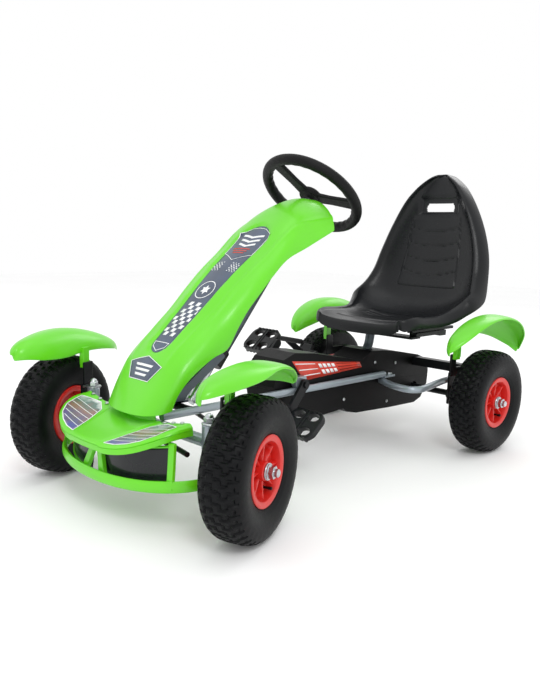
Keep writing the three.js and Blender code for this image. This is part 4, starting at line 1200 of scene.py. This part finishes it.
def drive():
    axle_end_x = abs(joint_place("rear_wheel_right_spin").x) + 45.6
    axle = rod((-axle_end_x, REAR_Y, AXLE_Z), (axle_end_x, REAR_Y, AXLE_Z), 8, 32)
    piece("rear_shaft", axle, DARK, ["rear_axle"], body="driven_axle")
    sprocket = moved(toothed(SPROCKET_R - 1.6, 14, 8.4, 4), (CHAIN_X, REAR_Y, AXLE_Z))
    piece("sprocket", sprocket, ZINC, ["axle_sprocket"], body="driven_axle", sharp=30)
    chainring = moved(toothed(CHAINRING_R - 1.6, 26, 7.4, 4), (CHAIN_X, CRANK.y, CRANK.z))
    piece("chain_wheel", chainring, ZINC, ["chainring"], body="cranks", sharp=30)
    chain()

    shapes = [rod((-74, CRANK.y, CRANK.z), (74, CRANK.y, CRANK.z), 7)]
    for side, sign in SIDES:
        pedal = PEDAL[side]
        angle = atan2(pedal.z - CRANK.z, pedal.y - CRANK.y)
        reach = hypot(pedal.z - CRANK.z, pedal.y - CRANK.y)
        big_end = [radians(60 + 24 * k) for k in range(11)]
        small_end = [radians(-80 + 20 * k) for k in range(9)]
        outline = [(13 * cos(a), 13 * sin(a)) for a in big_end]
        outline += [(reach + 10 * cos(a), 10 * sin(a)) for a in small_end]
        centre = Matrix.Translation((0, CRANK.y, CRANK.z))
        arm = placed(prism(outline, *sorted((sign * 70, sign * 78))),
                     centre @ Matrix.Rotation(angle, 4, "X"))
        cap = moved(hexagon(0, 8, 4), (sign * 80.5, CRANK.y, CRANK.z))
        spindle = rod((sign * 72, pedal.y, pedal.z), (sign * 166, pedal.y, pedal.z), 5.5)
        shapes += [arm, cap, spindle]
        pedal_block(side, pedal)
    piece("crank_arms", joined(*shapes), DARK, ["crank"], body="cranks", bevel=1)


def pedal_block(side, place):
    """A cage pedal: a rounded block pierced by four oval windows, with studs along its edges and middle."""
    half = 7
    outline = rounded([(-46, -22), (-34, -36), (34, -36), (46, -22), (46, 22), (34, 36), (-34, 36),
                       (-46, 22)], 14)
    windows = [[(x + a, y + b) for a, b in circle(20, 15.5, 10.5)]
               for x, y in ((-20, -19.5), (20, -19.5), (-20, 19.5), (20, 19.5))]
    work = bmesh.new()
    edges = []
    for loop in [outline, *windows]:
        rim = [work.verts.new((p[0], p[1], 0)) for p in loop]
        edges += [work.edges.new((rim[i - 1], rim[i])) for i in range(len(rim))]
    bmesh.ops.triangle_fill(work, use_beauty=True, edges=edges)
    work.verts.index_update()
    count = len(work.verts)
    points = [v.co + Vector((0, 0, z)) for z in (-half, half) for v in work.verts]
    faces = [tuple(v.index for v in face.verts)[::-1] for face in work.faces]
    faces += [tuple(count + v.index for v in face.verts) for face in work.faces]
    for edge in work.edges:
        if len(edge.link_faces) == 1:
            a, b = (v.index for v in edge.verts)
            faces.append((a, b, count + b, count + a))
    work.free()
    studs = []
    for low, edge_high, middle_high in ((half - 0.5, 9.2, 8.4), (-half + 0.5, -9.2, -8.4)):
        for y in (-34.5, 30.5):
            for x in range(-30, 31, 12):
                studs.append(block((x - 3.5, y - 1, min(low, edge_high)),
                                   (x + 3.5, y + 4, max(low, edge_high))))
        for x in (-4, 4):
            studs.append(block((x - 1.5, -30, min(low, middle_high)), (x + 1.5, 30, max(low, middle_high))))
    at = Matrix.Translation(place) @ Matrix.Rotation(radians(40), 4, "X")
    body = f"pedal_{side}"
    piece(f"pedal_body_{side}", placed((points, faces), at), SEAT, [body], body=body, bevel=1.4, sharp=32)
    piece(f"pedal_studs_{side}", placed(joined(*studs), at), SEAT, body=body, bevel=0.5)


def chain_case():
    """The case halves keep their CAD solids with a bevel. A striped label and screws lie on each side."""
    for node in ("chain_case_upper", "chain_case_lower"):
        obj = frame["nodes"][node]
        obj.data.materials.clear()
        obj.data.materials.append(CASE)
        bevelled(obj, 2.2, 3, 30)
    label = [Vector(p) for p in ((-71, 250), (176, 223), (186, 209), (-29, 200))]
    screw = turned([(0, 4), (1.5, 4), (2.4, 2.6), (2.6, 1)], 20)
    screw_places = ((-100, 215), (-95, 150), (240, 215), (330, 205), (430, 120), (300, 105), (120, 135))
    for side, sign in SIDES:
        marks = []

        def flat(a, b, lift, s=sign):
            return Vector((s * (47.0 + lift), a, b))

        def strip(start, stop, low, high, finish, lift):
            """A band of the label between two parts of its length and of its height."""
            corners = [label[0].lerp(label[3], v).lerp(label[1].lerp(label[2], v), u)
                       for u, v in rectangle(start, low, stop, high)]
            marks.append((finish, laid(corners[::sign], flat, lift, 20)))

        strip(0, 1, 0, 1, ORANGE, 0.3)
        for low in (0.12, 0.44, 0.74):
            strip(0.02, 0.30, low, low + 0.05, WHITE, 0.6)
            strip(0.62, 0.98, low, low + 0.05, CASE, 0.6)
        for k in range(4):
            start = 0.34 + 0.065 * k
            for low, high in ((0.14, 0.42), (0.56, 0.86)):
                strip(start, start + 0.045, low, high, WHITE, 0.6)
        stickers(f"label_{side}", marks, "red_plastic")
        for k, (y, z) in enumerate(screw_places):
            piece(f"case_screw_{side}_{k}", moved(handed(screw, sign), (sign * 46.8, y, z)), ZINC)


# ---- Scene ----
def studio():
    """A pale floor, an even white surround and four soft lamps."""
    bpy.ops.mesh.primitive_plane_add(size=14)
    ground = bpy.context.object
    ground.name = "floor"
    ground.location.z = -0.0005
    ground.data.materials.append(material("pale_floor", 0xFCFCFC, 0.8, variation=0.01, patch=2, grain=200))
    world = bpy.data.worlds.new("studio")
    world.use_nodes = True
    world.node_tree.nodes["Background"].inputs["Color"].default_value = (1, 1, 1, 1)
    world.node_tree.nodes["Background"].inputs["Strength"].default_value = 1.0
    bpy.context.scene.world = world
    for name, place, power, size in (
        ("key", (2.2, -1.6, 2.6), 28, 0.9),
        ("fill", (-2.6, -2.2, 1.8), 5, 2.2),
        ("rim", (-0.6, 2.8, 2.4), 14, 1.4),
        ("top", (0.2, -0.2, 3.2), 10, 2.0),
    ):
        light = bpy.data.lights.new(name, "AREA")
        light.energy = power
        light.size = size
        lamp = bpy.data.objects.new(name, light)
        lamp.location = place
        lamp.rotation_euler = (Vector((0, 0, 0.3)) - Vector(place)).to_track_quat("-Z", "Y").to_euler()
        bpy.context.scene.collection.objects.link(lamp)
    bpy.context.scene.view_settings.view_transform = "Standard"


def camera():
    """Seen from the front left, half a metre above the floor."""
    azimuth, elevation, roll = (radians(a) for a in (45, 9.11, 1.68))
    level = cos(elevation)
    back = Vector((sin(azimuth) * level, -cos(azimuth) * level, sin(elevation)))
    data = bpy.data.cameras.new("camera")
    data.sensor_width = 36
    data.lens = 36.49
    data.clip_start, data.clip_end = 0.05, 50
    obj = bpy.data.objects.new("camera", data)
    obj.rotation_mode = "QUATERNION"
    tilt = Matrix.Rotation(roll, 3, "Z").to_quaternion()
    obj.rotation_quaternion = (-back).to_track_quat("-Z", "Y") @ tilt
    obj.location = Vector((1126.8, -1222.1, 527.5)) * MM
    bpy.context.scene.collection.objects.link(obj)
    bpy.context.scene.camera = obj


wheels()
fenders()
fairing()
nose()
nose_details()
bumper()
seat()
steering()
corners()
tie_rods()
chassis()
brake()
drive()
chain_case()
studio()
camera()
